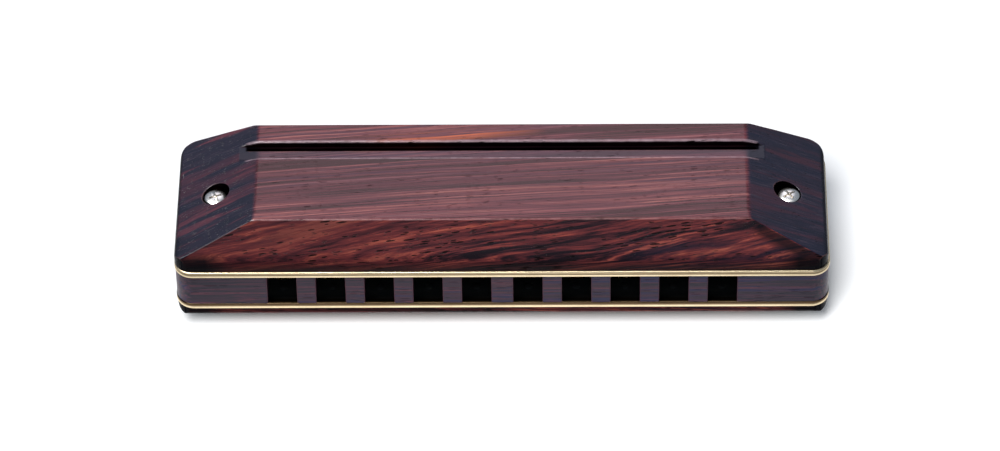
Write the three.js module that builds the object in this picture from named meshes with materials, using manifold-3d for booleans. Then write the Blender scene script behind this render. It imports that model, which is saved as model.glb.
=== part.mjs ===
// Ten-hole diatonic harmonica with wooden covers, built as it comes apart on a bench:
// a slotted wooden comb between two brass reed plates, twenty riveted reeds, two hollow
// wooden covers, six plate screws, and two cover screws with their nuts.
//
// Millimetres. The origin is the middle of the underside. +X runs from the low notes to
// the high notes, the mouth side faces -Y, and +Z is up.
import * as THREE from "three";
import { mergeVertices } from "three/addons/utils/BufferGeometryUtils.js";
import Module from "manifold-3d";

// ---------------------------------------------------------------- driving dimensions
// _W is a width, _T a thickness, _H a height and _R a radius. A plan place marked
// "from the mouth" is measured back from the front edge of the reed plates.
const LENGTH = 101.0; // reed plates, end to end
const DEPTH = 26.25; // reed plates, mouth side to back
const CORNER_R = 2.9; // plan corners of the reed plates
const COMB_T = 5.75;
const PLATE_T = 1.0;
const TOP_COVER_H = 6.65;
const BOTTOM_COVER_H = 5.95;
const COVER_INSET = 0.3; // ledge of brass left showing round each cover
const COMB_INSET = 0.12; // comb edge behind the plate edge

const HOLES = 10;
const PITCH = 7.5; // hole to hole
const MIDDLE_EXTRA = 0.4; // the partition between holes 5 and 6 is this much wider

const COVER_SCREW_X = 44.4;
const COVER_SCREW_Y = 12.95; // from the mouth
const COVER_SHANK_R = 1.0;
const COVER_HOLE_R = COVER_SHANK_R + 0.15;
const HEAD_SEAT = 2.4; // wood left under a cover screw head
const NUT_SEAT = 1.2; // wood left between a nut and the draw plate
const NUT_R = 4.0 / Math.sqrt(3); // to the corners, for 4 mm across flats

// Columns: X, and Y from the mouth.
const PLATE_SCREWS = [
  [-38.6, 5.2],
  [38.6, 5.2],
  [0, 8.2],
  [-38.6, 19.4],
  [38.6, 19.4],
  [0, 22.2],
];
const PLATE_SHANK_R = 0.8;
const PLATE_HOLE_R = PLATE_SHANK_R + 0.05;

const RIVET_Y = 3.6; // from the mouth
const RIVET_R = 0.45;
const REED_GAP = 0.1; // reed to plate, and pad to rivet head
const SLOT_START = 5.15; // front of every reed slot, from the mouth

const PAST = 1; // how far a cutting shape runs past the surface it cuts

// Levels, from the bottom up
const Z_DRAW = BOTTOM_COVER_H; // underside of the draw (lower) plate
const Z_COMB = Z_DRAW + PLATE_T;
const Z_BLOW = Z_COMB + COMB_T; // underside of the blow (upper) plate
const Z_TOP_COVER = Z_BLOW + PLATE_T;

const fromMouth = (distance) => distance - DEPTH / 2;
const bothEnds = (x) => [-x, x];

const wasm = await Module();
wasm.setup();

// ---------------------------------------------------------------- solids and meshes
function toSolid(geometry) {
  const bare = geometry.clone();
  for (const name of Object.keys(bare.attributes)) {
    if (name !== "position") bare.deleteAttribute(name);
  }
  const merged = mergeVertices(bare, 1e-4);
  return new wasm.Manifold(
    new wasm.Mesh({
      numProp: 3,
      vertProperties: new Float32Array(merged.attributes.position.array),
      triVerts: new Uint32Array(merged.index.array),
    }),
  );
}

function toGeometry(solid) {
  const mesh = solid.getMesh();
  const indexed = new THREE.BufferGeometry();
  indexed.setAttribute("position", new THREE.Float32BufferAttribute(mesh.vertProperties, 3));
  indexed.setIndex(Array.from(mesh.triVerts));
  const flat = indexed.toNonIndexed();
  flat.computeVertexNormals();
  return flat;
}

const cutAll = (solid, tools) => tools.reduce((rest, tool) => rest.subtract(tool), solid);

// Reflection of a non-indexed geometry that takes z to level - z. Two corners of each
// triangle change places so that the faces still point out.
function flipZ(geometry, level) {
  const flipped = geometry.clone();
  const position = flipped.attributes.position;
  for (let i = 0; i < position.count; i++) position.setZ(i, level - position.getZ(i));
  for (let i = 0; i < position.count; i += 3) {
    const second = [position.getX(i + 1), position.getY(i + 1), position.getZ(i + 1)];
    position.setXYZ(i + 1, position.getX(i + 2), position.getY(i + 2), position.getZ(i + 2));
    position.setXYZ(i + 2, ...second);
  }
  flipped.computeVertexNormals();
  return flipped;
}

// ---------------------------------------------------------------- outlines
// Points of an arc, both ends included.
function arc(centreX, centreY, radius, start, sweep, steps) {
  const points = [];
  for (let i = 0; i <= steps; i++) {
    const angle = start + (sweep * i) / steps;
    points.push([centreX + radius * Math.cos(angle), centreY + radius * Math.sin(angle)]);
  }
  return points;
}

// The last point of a full turn would repeat the first.
const circle = (centreX, centreY, radius, sides) =>
  arc(centreX, centreY, radius, 0, 2 * Math.PI, sides).slice(0, -1);

function roundedRect(left, right, front, back, radius, steps) {
  const corner = (x, y, start) => arc(x, y, radius, start, Math.PI / 2, steps);
  return [
    ...corner(right - radius, back - radius, 0),
    ...corner(left + radius, back - radius, Math.PI / 2),
    ...corner(left + radius, front + radius, Math.PI),
    ...corner(right - radius, front + radius, 1.5 * Math.PI),
  ];
}

// The plan of the reed plates, drawn in by an inset.
function bodyPlan(inset) {
  const end = LENGTH / 2 - inset;
  const back = fromMouth(DEPTH - inset);
  return roundedRect(-end, end, fromMouth(inset), back, CORNER_R - inset, 7);
}

// The +X half of an (X, Z) outline, bottom first, joined to its reflection.
const mirroredEnds = (half) => [...half, ...half.map(([x, z]) => [-x, z]).reverse()];

const coverScrewHole = (x) => circle(x, fromMouth(COVER_SCREW_Y), COVER_HOLE_R, 16);
const screwHoles = [
  ...bothEnds(COVER_SCREW_X).map(coverScrewHole),
  ...PLATE_SCREWS.map(([x, y]) => circle(x, fromMouth(y), PLATE_HOLE_R, 10)),
];

// ---------------------------------------------------------------- prisms and turnings
const round4 = (value) => Math.round(value * 1e4) / 1e4;
const outline = (points) =>
  new THREE.Shape(points.map(([x, y]) => new THREE.Vector2(round4(x), round4(y))));

function extrude(points, depth, openings = []) {
  const shape = outline(points);
  shape.holes = openings.map(outline);
  return new THREE.ExtrudeGeometry(shape, { depth, bevelEnabled: false, curveSegments: 1 });
}

// Upright prism of an (X, Y) outline.
function prismZ(points, bottom, top, openings) {
  return extrude(points, top - bottom, openings).translate(0, 0, bottom);
}

// Prism of a (Y, Z) outline running along X.
function prismX(points, left, right) {
  // local x, y, z become Y, Z, X
  const turn = new THREE.Matrix4().set(0, 0, 1, left, 1, 0, 0, 0, 0, 1, 0, 0, 0, 0, 0, 1);
  return extrude(points, right - left).applyMatrix4(turn);
}

// Prism of an (X, Z) outline running along Y.
function prismY(points, front, back) {
  // local x, y, z become X, Z, -Y
  const turn = new THREE.Matrix4().set(1, 0, 0, 0, 0, 0, -1, back, 0, 1, 0, 0, 0, 0, 0, 1);
  return extrude(points, back - front).applyMatrix4(turn);
}

const cutterZ = (points, bottom, top) => toSolid(prismZ(points, bottom, top));

// The solid common to three prisms: a plan, a front-to-back section, an end-to-end section.
function meetOfPrisms({ plan, bottom, top, section, ends }) {
  return toSolid(prismZ(plan, bottom, top))
    .intersect(toSolid(prismX(section, -LENGTH, LENGTH)))
    .intersect(toSolid(prismY(ends, -DEPTH, DEPTH)));
}

// Solid of revolution about an upright axis; the profile is [radius, z], bottom first.
function turned(profile, x, y, segments) {
  const points = profile.map(([radius, z]) => new THREE.Vector2(radius, z));
  return new THREE.LatheGeometry(points, segments).rotateX(Math.PI / 2).translate(x, y, 0);
}

// ---------------------------------------------------------------- materials and groups
const MATERIALS = {
  cover: { color: 0x6a3a3a, roughness: 0.38, metalness: 0 },
  comb: { color: 0x4a3944, roughness: 0.45, metalness: 0 },
  brass: { color: 0xc8a24e, roughness: 0.25, metalness: 1 },
  reed: { color: 0xd9b35e, roughness: 0.3, metalness: 1 },
  rivet: { color: 0xb9913f, roughness: 0.35, metalness: 1 },
  nickel: { color: 0xd9d6cf, roughness: 0.18, metalness: 1 },
  steel: { color: 0xb9b9b6, roughness: 0.3, metalness: 1 },
};

function add(parent, name, geometry, material) {
  const mesh = new THREE.Mesh(geometry, new THREE.MeshStandardMaterial(MATERIALS[material]));
  mesh.name = name;
  parent.add(mesh);
}

function addGroup(parent, name) {
  const group = new THREE.Group();
  group.name = name;
  parent.add(group);
  return group;
}

// ---------------------------------------------------------------- hole and reed layout
// Each pair runs from hole 1 to hole 10.
const REED_SLOT_LENGTHS = [15.0, 8.6];
const REED_WIDTHS = [2.3, 1.9];
const REED_THICKNESSES = [0.34, 0.26];
const CHAMBER_PAST_SLOT = 0.8;
const WEIGHTED_REEDS = 3; // the lowest reeds carry a thicker tip

const holes = Array.from({ length: HOLES }, (_, i) => {
  const grade = ([low, high]) => low + ((high - low) * i) / (HOLES - 1);
  const side = i < HOLES / 2 ? -1 : 1;
  const slotEnd = SLOT_START + grade(REED_SLOT_LENGTHS);
  return {
    number: i + 1,
    x: (i - (HOLES - 1) / 2) * PITCH + (side * MIDDLE_EXTRA) / 2,
    slotEnd,
    chamberEnd: slotEnd + CHAMBER_PAST_SLOT,
    reedW: grade(REED_WIDTHS),
    reedT: grade(REED_THICKNESSES),
    weighted: i < WEIGHTED_REEDS,
  };
});

// ---------------------------------------------------------------- comb
const CHAMBER_W = 4.5;
const CHAMBER_R = 0.9; // back corners of a chamber

// A chamber is open at the mouth and round-cornered at the back.
function chamber({ x, chamberEnd }) {
  const left = x - CHAMBER_W / 2;
  const right = x + CHAMBER_W / 2;
  const cornerY = fromMouth(chamberEnd) - CHAMBER_R;
  const corner = (cornerX, start) => arc(cornerX, cornerY, CHAMBER_R, start, Math.PI / 2, 4);
  const plan = [
    [left, fromMouth(-PAST)],
    [right, fromMouth(-PAST)],
    ...corner(right - CHAMBER_R, 0),
    ...corner(left + CHAMBER_R, Math.PI / 2),
  ];
  return cutterZ(plan, Z_COMB - PAST, Z_BLOW + PAST);
}

function comb() {
  const block = toSolid(prismZ(bodyPlan(COMB_INSET), Z_COMB, Z_BLOW, screwHoles));
  return toGeometry(cutAll(block, holes.map(chamber)));
}

// ---------------------------------------------------------------- reed plates
const REED_SIDE_GAP = 0.05;
const RIVET_HOLE_R = RIVET_R + 0.05;

function reedSlot({ x, reedW, slotEnd }) {
  const half = reedW / 2 + REED_SIDE_GAP;
  return [
    [x - half, fromMouth(SLOT_START)],
    [x + half, fromMouth(SLOT_START)],
    [x + half, fromMouth(slotEnd)],
    [x - half, fromMouth(slotEnd)],
  ];
}

function reedPlate(bottom) {
  const top = bottom + PLATE_T;
  const openings = [
    ...holes.map(reedSlot),
    ...holes.map(({ x }) => circle(x, fromMouth(RIVET_Y), RIVET_HOLE_R, 8)),
    ...screwHoles,
  ];
  return toGeometry(
    cutAll(
      toSolid(prismZ(bodyPlan(0), bottom, top)),
      openings.map((points) => cutterZ(points, bottom - PAST, top + PAST)),
    ),
  );
}

// ---------------------------------------------------------------- reeds and rivets
// A reed lies just under its plate: the blow reeds inside the chambers, the draw reeds
// outside the comb. The riveted pad is at the mouth end and the free tip points back.
const PAD_HALF = 1.45; // half length of the pad
const PAD_W = 3.1;
const PAD_CLIP = 0.35; // clipped pad corners
const PAD_HOLE_R = RIVET_R + 0.06;
const TIP_GAP = 0.12; // tip to slot end
const FULL_PAST_PAD = 1.2; // full thickness carries on this far behind the pad
const FILED_SHARE = 0.82; // share of the thickness left where the reed is filed
const WEIGHT_EXTRA = 0.2; // a weighted tip hangs this far below the pad's underside
const FILED_START = 5.2; // on a weighted reed, from the tip
const FILED_END = 4.0;
const WEIGHT_START = 3.2;

function reed({ x, slotEnd, reedW, reedT, weighted }, zPlate) {
  const top = zPlate - REED_GAP;
  const under = top - reedT;
  const filed = top - reedT * FILED_SHARE;
  const weight = under - WEIGHT_EXTRA;
  const front = fromMouth(RIVET_Y - PAD_HALF);
  const back = fromMouth(RIVET_Y + PAD_HALF);
  const tip = fromMouth(slotEnd) - TIP_GAP;
  const padHalfW = PAD_W / 2;
  // columns: distance to the side of the reed's centreline, Y
  const side = [
    [padHalfW - PAD_CLIP, front],
    [padHalfW, front + PAD_CLIP],
    [padHalfW, back - PAD_CLIP],
    [reedW / 2, back],
    [reedW / 2, tip],
  ];
  const plan = [
    ...side.map(([out, y]) => [x + out, y]),
    ...side.map(([out, y]) => [x - out, y]).reverse(),
  ];
  // underside of the back part: filed thinner, then thick again where there is a weight
  const tail = weighted
    ? [
        [tip - FILED_START, filed],
        [tip - FILED_END, filed],
        [tip - WEIGHT_START, weight],
        [tip + PAST, weight],
      ]
    : [[tip + PAST, filed]];
  const section = [
    [front - PAST, under],
    [back + FULL_PAST_PAD, under],
    ...tail,
    [tip + PAST, top],
    [front - PAST, top],
  ];
  const blank = toSolid(prismX(section, x - PAD_W, x + PAD_W));
  const rivetHole = circle(x, fromMouth(RIVET_Y), PAD_HOLE_R, 8);
  const cutter = toSolid(prismZ(plan, top - PAST, top + PAST, [rivetHole]));
  return toGeometry(blank.intersect(cutter));
}

// The wide head is under the reed pad, the low one on top of the plate.
function rivet({ x, reedT }, zPlate) {
  const head = zPlate - REED_GAP - reedT - REED_GAP;
  const over = zPlate + PLATE_T;
  const profile = [
    [0, head - 0.34],
    [0.5, head - 0.26],
    [0.82, head],
    [RIVET_R, head],
    [RIVET_R, over],
    [0.68, over],
    [0, over + 0.16],
  ];
  return turned(profile, x, fromMouth(RIVET_Y), 8);
}

// ---------------------------------------------------------------- cover blank
// Both covers are built standing on the upper reed plate, and the lower one is then
// reflected to its place. Where the three prisms of a blank meet, its facets form hips.
const RIDGE_X = 38.19; // half length of the flat top
const RIDGE_Y = 5.06; // front edge of the flat top, from the mouth
const FRONT_SLOPE = 0.935; // fall of the front facet per mm
const END_SLOPE = 0.372; // fall of the end facets per mm
const TOP_FRONT_FOOT_R = 3.6; // rounding where the front facet turns down to the plate
const BOTTOM_FRONT_FOOT_R = 2.4; // the same on the shallower lower cover
const END_FOOT_R = 1.3; // the same at both ends
const FOOT_MIN_H = 0.3; // least upright wall under a rounding
const BACK_R = 0.4; // rounding of the back top edge
const BACK_MID = BACK_R * 0.29; // inset of the middle point of that rounding

// Arc from an upright wall into a facet of the given slope that would meet the wall at
// height `knee`. Returns [distance in from the wall, height] pairs, bottom first.
function foot(knee, slope, largestR, steps) {
  const turn = Math.PI / 2 - Math.atan(slope);
  const tangent = Math.tan(turn / 2);
  const start = Math.max(FOOT_MIN_H, knee - largestR * tangent);
  const radius = (knee - start) / tangent;
  return arc(radius, start, radius, Math.PI, -turn, steps);
}

function coverBlank(height, frontFootR) {
  const base = Z_TOP_COVER;
  const top = base + height;
  const back = fromMouth(DEPTH - COVER_INSET);
  const frontKnee = height - (RIDGE_Y - COVER_INSET) * FRONT_SLOPE;
  const frontFoot = foot(frontKnee, FRONT_SLOPE, frontFootR, 5);
  const section = [
    [fromMouth(COVER_INSET - PAST), base],
    [back + PAST, base],
    [back + PAST, top - 1],
    [back, top - 1],
    [back, top - BACK_R],
    [back - BACK_MID, top - BACK_MID],
    [back - BACK_R, top],
    // the front edge of the flat top is eased
    [fromMouth(RIDGE_Y + 0.2), top],
    [fromMouth(RIDGE_Y - 0.14), top - 0.2],
    ...frontFoot.map(([inward, z]) => [fromMouth(COVER_INSET + inward), base + z]).reverse(),
    [fromMouth(COVER_INSET - PAST), base + frontFoot[0][1]],
  ];

  const end = LENGTH / 2 - COVER_INSET;
  const endKnee = height - (end - RIDGE_X) * END_SLOPE;
  const endFoot = foot(endKnee, END_SLOPE, END_FOOT_R, 4);
  const ends = mirroredEnds([
    [end + PAST, base],
    [end + PAST, base + endFoot[0][1]],
    ...endFoot.map(([inward, z]) => [end - inward, base + z]),
    // the ends of the flat top are eased
    [RIDGE_X + 0.25, top - 0.1],
    [RIDGE_X - 0.25, top],
  ]);
  return meetOfPrisms({ plan: bodyPlan(COVER_INSET), bottom: base, top, section, ends });
}

// ---------------------------------------------------------------- cover hollow and slots
const CAVITY_X = 41.0; // half length
const CAVITY_FRONT = 1.7; // from the mouth
const CAVITY_BACK = 24.2;
const CAVITY_R = 1.6; // plan corners
const CAVITY_FRONT_DROP = 3.0; // height of the sloping front of its roof
const CAVITY_END_DROP = 1.2; // height and run of the sloping ends of its roof
const CAVITY_END_RUN = 3.3;
const ROOF_T = 1.6; // wood left over the hollow

const GROOVE_FRONT = 18.6; // sound groove, from the mouth
const GROOVE_BACK = 21.85;
const GROOVE_DEPTH = 1.0;
const SLOT_FRONT = 20.9; // sound slot through the groove floor, from the mouth
const SLOT_BACK = 21.5;
const SLOT_X = 39.6; // half length
const SLOT_BOTTOM = 1.2; // the slot cutter starts this far above the plate, in the hollow

function coverCavity(height) {
  const bottom = Z_TOP_COVER - PAST;
  const roof = Z_TOP_COVER + height - ROOF_T;
  const front = fromMouth(CAVITY_FRONT);
  const back = fromMouth(CAVITY_BACK);
  return meetOfPrisms({
    plan: roundedRect(-CAVITY_X, CAVITY_X, front, back, CAVITY_R, 4),
    bottom,
    top: Z_TOP_COVER + height,
    section: [
      [front, bottom],
      [back, bottom],
      [back, roof],
      [front + CAVITY_FRONT_DROP / FRONT_SLOPE, roof],
      [front, roof - CAVITY_FRONT_DROP],
    ],
    ends: mirroredEnds([
      [CAVITY_X, bottom],
      [CAVITY_X, roof - CAVITY_END_DROP],
      [CAVITY_X - CAVITY_END_RUN, roof],
    ]),
  });
}

// Runs the full length; its front wall curves down and its back edge is eased.
function coverGroove(height) {
  // columns: Y from the mouth, height over the cover's flat top
  const section = [
    [GROOVE_FRONT, PAST],
    [GROOVE_FRONT, 0],
    [GROOVE_FRONT + 0.12, -0.45 * GROOVE_DEPTH],
    [GROOVE_FRONT + 0.3, -0.8 * GROOVE_DEPTH],
    [GROOVE_FRONT + 0.62, -GROOVE_DEPTH],
    [GROOVE_BACK, -GROOVE_DEPTH],
    [GROOVE_BACK, -0.35],
    [GROOVE_BACK + 0.12, -0.1],
    [GROOVE_BACK + 0.42, 0.02],
    [GROOVE_BACK + 0.42, PAST],
  ];
  const placed = section.map(([y, z]) => [fromMouth(y), Z_TOP_COVER + height + z]);
  return toSolid(prismX(placed, -LENGTH, LENGTH));
}

function coverSlot(height) {
  const radius = (SLOT_BACK - SLOT_FRONT) / 2;
  const middle = fromMouth((SLOT_BACK + SLOT_FRONT) / 2);
  const plan = [
    ...arc(SLOT_X - radius, middle, radius, -Math.PI / 2, Math.PI, 4),
    ...arc(radius - SLOT_X, middle, radius, Math.PI / 2, Math.PI, 4),
  ];
  return cutterZ(plan, Z_TOP_COVER + SLOT_BOTTOM, Z_TOP_COVER + height + PAST);
}

// ---------------------------------------------------------------- covers
const COUNTERBORE_X = 44.2; // the counterbore is a little inboard of the screw
const COUNTERBORE_R = 2.08;
const NUT_POCKET_R = NUT_R + 0.12;

// A recess is sunk from the outer face at each end, leaving `seat` of wood below it.
function cover({ height, frontFootR, recessX, recessR, recessSides, seat }) {
  const bottom = Z_TOP_COVER;
  const above = bottom + height + PAST;
  const recess = (x) => circle(x, fromMouth(COVER_SCREW_Y), recessR, recessSides);
  return toGeometry(
    cutAll(coverBlank(height, frontFootR), [
      coverCavity(height),
      coverGroove(height),
      coverSlot(height),
      ...bothEnds(COVER_SCREW_X).map((x) => cutterZ(coverScrewHole(x), bottom - PAST, above)),
      ...bothEnds(recessX).map((x) => cutterZ(recess(x), bottom + seat, above)),
    ]),
  );
}

const topCover = () =>
  cover({
    height: TOP_COVER_H,
    frontFootR: TOP_FRONT_FOOT_R,
    recessX: COUNTERBORE_X,
    recessR: COUNTERBORE_R,
    recessSides: 28,
    seat: HEAD_SEAT,
  });

function bottomCover() {
  const upright = cover({
    height: BOTTOM_COVER_H,
    frontFootR: BOTTOM_FRONT_FOOT_R,
    recessX: COVER_SCREW_X,
    recessR: NUT_POCKET_R,
    recessSides: 6,
    seat: NUT_SEAT,
  });
  return flipZ(upright, Z_TOP_COVER + BOTTOM_COVER_H);
}

// ---------------------------------------------------------------- fasteners
const COVER_HEAD_R = 1.62;
const COVER_HEAD_H = 1.5;
const NUT_H = 1.6;
const NUT_BORE_R = COVER_SHANK_R + 0.05;
const PLATE_HEAD_R = 1.5;
const PLATE_HEAD_H = 0.92;

// Cross recesses: how far the arms' ends lie below the crown, arm width, arm length from
// the axis, and depth at the middle.
const COVER_CROSS = { sunk: 0.06, width: 0.42, reach: 1.1, depth: 0.85 };
const PLATE_CROSS = { sunk: 0.04, width: 0.34, reach: 0.9, depth: 0.5 };
const CROSS_FLOOR = 0.35; // flat floor, as a share of the reach

// Turned screw with a cross recess, two crossed bars that are deeper in the middle.
function screw({ profile, x, y, segments, cross, turn }) {
  const { sunk, width, reach, depth } = cross;
  const crown = profile[profile.length - 1][1];
  const section = [
    [-reach, PAST],
    [-reach, 0],
    [-reach * CROSS_FLOOR, -depth],
    [reach * CROSS_FLOOR, -depth],
    [reach, 0],
    [reach, PAST],
  ];
  const bar = (angle) => {
    const straight = prismX(section, -width / 2, width / 2);
    return toSolid(straight.rotateZ(angle).translate(x, y, crown - sunk));
  };
  const recess = bar(turn).add(bar(turn + Math.PI / 2));
  return toGeometry(toSolid(turned(profile, x, y, segments)).subtract(recess));
}

function coverScrew(x, turn) {
  const seat = Z_TOP_COVER + HEAD_SEAT;
  const crown = seat + COVER_HEAD_H;
  const end = Z_DRAW - NUT_SEAT - NUT_H; // flush with the underside of the nut
  const profile = [
    [0, end],
    [COVER_SHANK_R - 0.2, end],
    [COVER_SHANK_R, end + 0.2],
    [COVER_SHANK_R, seat],
    [COVER_HEAD_R, seat],
    [COVER_HEAD_R, crown - 0.5],
    [COVER_HEAD_R - 0.12, crown - 0.32],
    [COVER_HEAD_R * 0.72, crown - 0.12],
    [COVER_HEAD_R * 0.4, crown - 0.03],
    [0, crown],
  ];
  const y = fromMouth(COVER_SCREW_Y);
  return screw({ profile, x, y, segments: 24, cross: COVER_CROSS, turn });
}

function coverNut(x) {
  const top = Z_DRAW - NUT_SEAT;
  const y = fromMouth(COVER_SCREW_Y);
  return prismZ(circle(x, y, NUT_R, 6), top - NUT_H, top, [circle(x, y, NUT_BORE_R, 24)]);
}

function plateScrew([x, distance], turn) {
  const seat = Z_TOP_COVER;
  const profile = [
    [0, Z_DRAW],
    [PLATE_SHANK_R - 0.12, Z_DRAW],
    [PLATE_SHANK_R, Z_DRAW + 0.15],
    [PLATE_SHANK_R, seat],
    [PLATE_HEAD_R, seat],
    [PLATE_HEAD_R, seat + 0.45],
    [PLATE_HEAD_R * 0.75, seat + 0.8],
    [0, seat + PLATE_HEAD_H],
  ];
  return screw({ profile, x, y: fromMouth(distance), segments: 10, cross: PLATE_CROSS, turn });
}

// ---------------------------------------------------------------- assembly
// How far each screw's cross is turned, in radians
const LEFT_TURN = 0.35;
const RIGHT_TURN = 0.6;
const FIRST_PLATE_TURN = 0.3;
const PLATE_TURN_STEP = 0.7;

const harmonica = new THREE.Group();
harmonica.name = "harmonica";
add(harmonica, "comb", comb(), "comb");

const plates = addGroup(harmonica, "reed_plates");
add(plates, "blow_reed_plate", reedPlate(Z_BLOW), "brass");
add(plates, "draw_reed_plate", reedPlate(Z_DRAW), "brass");

const reeds = addGroup(harmonica, "reeds");
for (const [kind, build] of Object.entries({ reed, rivet })) {
  for (const [side, zPlate] of [["blow", Z_BLOW], ["draw", Z_DRAW]]) {
    for (const hole of holes) {
      add(reeds, `${side}_${kind}_${hole.number}`, build(hole, zPlate), kind);
    }
  }
}

add(harmonica, "top_cover", topCover(), "cover");
add(harmonica, "bottom_cover", bottomCover(), "cover");

const fasteners = addGroup(harmonica, "fasteners");
add(fasteners, "cover_screw_left", coverScrew(-COVER_SCREW_X, LEFT_TURN), "nickel");
add(fasteners, "cover_screw_right", coverScrew(COVER_SCREW_X, RIGHT_TURN), "nickel");
add(fasteners, "cover_nut_left", coverNut(-COVER_SCREW_X), "nickel");
add(fasteners, "cover_nut_right", coverNut(COVER_SCREW_X), "nickel");
PLATE_SCREWS.forEach((place, i) => {
  const turn = FIRST_PLATE_TURN + i * PLATE_TURN_STEP;
  add(fasteners, `plate_screw_${i + 1}`, plateScrew(place, turn), "steel");
});

export default harmonica;
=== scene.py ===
"""A ten-hole harmonica: a wooden comb between two brass reed plates and two wooden covers.

It lies flat on the floor, long side along X, mouth side towards -Y, upper cover up.
Sizes are in millimetres until a mesh is made. Depths called "from the front" are
measured backwards (+Y) from the front edge of the reed plates.
"""
import math
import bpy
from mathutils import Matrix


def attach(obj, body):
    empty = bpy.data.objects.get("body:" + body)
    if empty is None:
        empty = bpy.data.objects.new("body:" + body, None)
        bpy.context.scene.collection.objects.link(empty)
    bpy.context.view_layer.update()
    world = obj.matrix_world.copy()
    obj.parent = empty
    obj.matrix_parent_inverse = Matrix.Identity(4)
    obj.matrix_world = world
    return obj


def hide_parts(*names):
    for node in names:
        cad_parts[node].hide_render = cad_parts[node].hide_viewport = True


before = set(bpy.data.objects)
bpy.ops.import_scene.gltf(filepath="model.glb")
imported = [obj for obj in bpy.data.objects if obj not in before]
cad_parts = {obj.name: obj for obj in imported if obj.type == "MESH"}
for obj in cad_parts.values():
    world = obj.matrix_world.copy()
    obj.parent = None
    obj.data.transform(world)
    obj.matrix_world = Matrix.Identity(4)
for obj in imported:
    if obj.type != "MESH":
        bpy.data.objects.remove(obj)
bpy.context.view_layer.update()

from types import SimpleNamespace

import bmesh
import bpy
import numpy as np
from mathutils import Matrix, Vector
from mathutils.geometry import delaunay_2d_cdt

MM = 0.001

# ------------------------------------------------------------------ sizes
LENGTH, DEPTH, CORNER = 101.0, 26.25, 2.9
FRONT = -DEPTH / 2
COMB_T, PLATE_T = 5.75, 1.0
TOP_H, BOTTOM_H = 6.65, 5.95

# heights of the layers, from the floor up
Z_DRAW = BOTTOM_H
Z_COMB = Z_DRAW + PLATE_T
Z_BLOW = Z_COMB + COMB_T
Z_TOPC = Z_BLOW + PLATE_T
Z_TOP = Z_TOPC + TOP_H

# how far the covers and the comb stand in from the plates
COVER_INSET, COVER_END_INSET, COMB_INSET = 0.3, 0.16, 0.12
UPPER_COVER_SHIFT = -0.1  # the upper cover sits a little to the left

# edges of the flat of a cover, and the slopes of the facets outside it
RIDGE_X, RIDGE_Y = 38.19, 5.06
FRONT_SLOPE, END_SLOPE = 0.935, 0.372
TOP_FOOT_R, BOTTOM_FOOT_R, END_FOOT_R, BACK_R = 3.6, 2.4, 1.3, 0.4

# long groove in a cover, the slot through its floor, and the hollow underneath
GROOVE_FRONT, GROOVE_BACK, GROOVE_D = 18.6, 21.85, 1.0
SLOT_FRONT, SLOT_BACK, SLOT_X = 20.9, 21.5, 39.6
CAV_X, CAV_FRONT, CAV_BACK, ROOF_T = 41.0, 1.7, 24.2, 1.6
CAV_CORNER = 1.6
CAV_FRONT_DROP, CAV_END_DROP, CAV_END_RUN = 3.0, 1.2, 3.3

# cover screws, their bores in the upper cover and their nuts in the lower one
SCREW_X, SCREW_Y = 44.4, 12.95
BORE_X, BORE_R = 44.2, 2.08
HEAD_SEAT, NUT_SEAT = 2.4, 1.2
NUT_FLATS, NUT_H = 4.0, 1.6
NUT_R = NUT_FLATS / math.sqrt(3)
SCREW_HOLE_R, PLATE_SCREW_HOLE_R = 1.15, 0.85

# plate screws: x, depth from the front
PLATE_SCREWS = [(-38.6, 5.2), (38.6, 5.2), (0, 8.2), (-38.6, 19.4), (38.6, 19.4), (0, 22.2)]

RIVET_Y, RIVET_R = 3.6, 0.45
REED_GAP = 0.1  # the reeds hang this far below the underside level of their plate
HOLE_PITCH, HALF_SPREAD = 7.5, 0.2
CHAMBER_W, CHAMBER_EXTRA = 4.5, 0.8
SLIT_FRONT, SLIT_LENGTH, SLIT_SHORTENING = 5.15, 15.0, 6.4


def from_front(depth):
    return FRONT + depth


def hole_sizes(i):
    """Place and reed sizes of hole i; the reeds get shorter and thinner to the right."""
    t = i / 9
    end = SLIT_FRONT + SLIT_LENGTH - SLIT_SHORTENING * t
    return SimpleNamespace(
        number=i + 1,
        x=(i - 4.5) * HOLE_PITCH + (-HALF_SPREAD if i < 5 else HALF_SPREAD),
        end=end,
        chamber=end + CHAMBER_EXTRA,
        width=2.3 - 0.4 * t,
        thick=0.34 - 0.08 * t,
        weighted=i < 3,
    )


HOLES = [hole_sizes(i) for i in range(10)]


# ------------------------------------------------------------------ plan outlines
def circle(cx, cy, radius, count):
    turns = [2 * math.pi * i / count for i in range(count)]
    return [(cx + radius * math.cos(a), cy + radius * math.sin(a)) for a in turns]


def arc(cx, cy, radius, start, end, count):
    """Points of an arc between two angles in degrees, both ends included."""
    turns = [math.radians(start + (end - start) * i / count) for i in range(count + 1)]
    return [(cx + radius * math.cos(a), cy + radius * math.sin(a)) for a in turns]


def rounded(x0, x1, y0, y1, radius, count):
    return (
        arc(x1 - radius, y1 - radius, radius, 0, 90, count)
        + arc(x0 + radius, y1 - radius, radius, 90, 180, count)
        + arc(x0 + radius, y0 + radius, radius, 180, 270, count)
        + arc(x1 - radius, y0 + radius, radius, 270, 360, count)
    )


def line_x(depth):
    """A mesh line along X across the whole piece."""
    return [(-60, from_front(depth)), (60, from_front(depth))]


def line_y(x, front=-20, back=20):
    return [(x, front), (x, back)]


def screw_holes(count):
    """Outlines of the holes for the cover screws and the plate screws."""
    outlines = [circle(side * SCREW_X, from_front(SCREW_Y), SCREW_HOLE_R, count) for side in (-1, 1)]
    return outlines + [circle(x, from_front(y), PLATE_SCREW_HOLE_R, 20) for x, y in PLATE_SCREWS]


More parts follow.
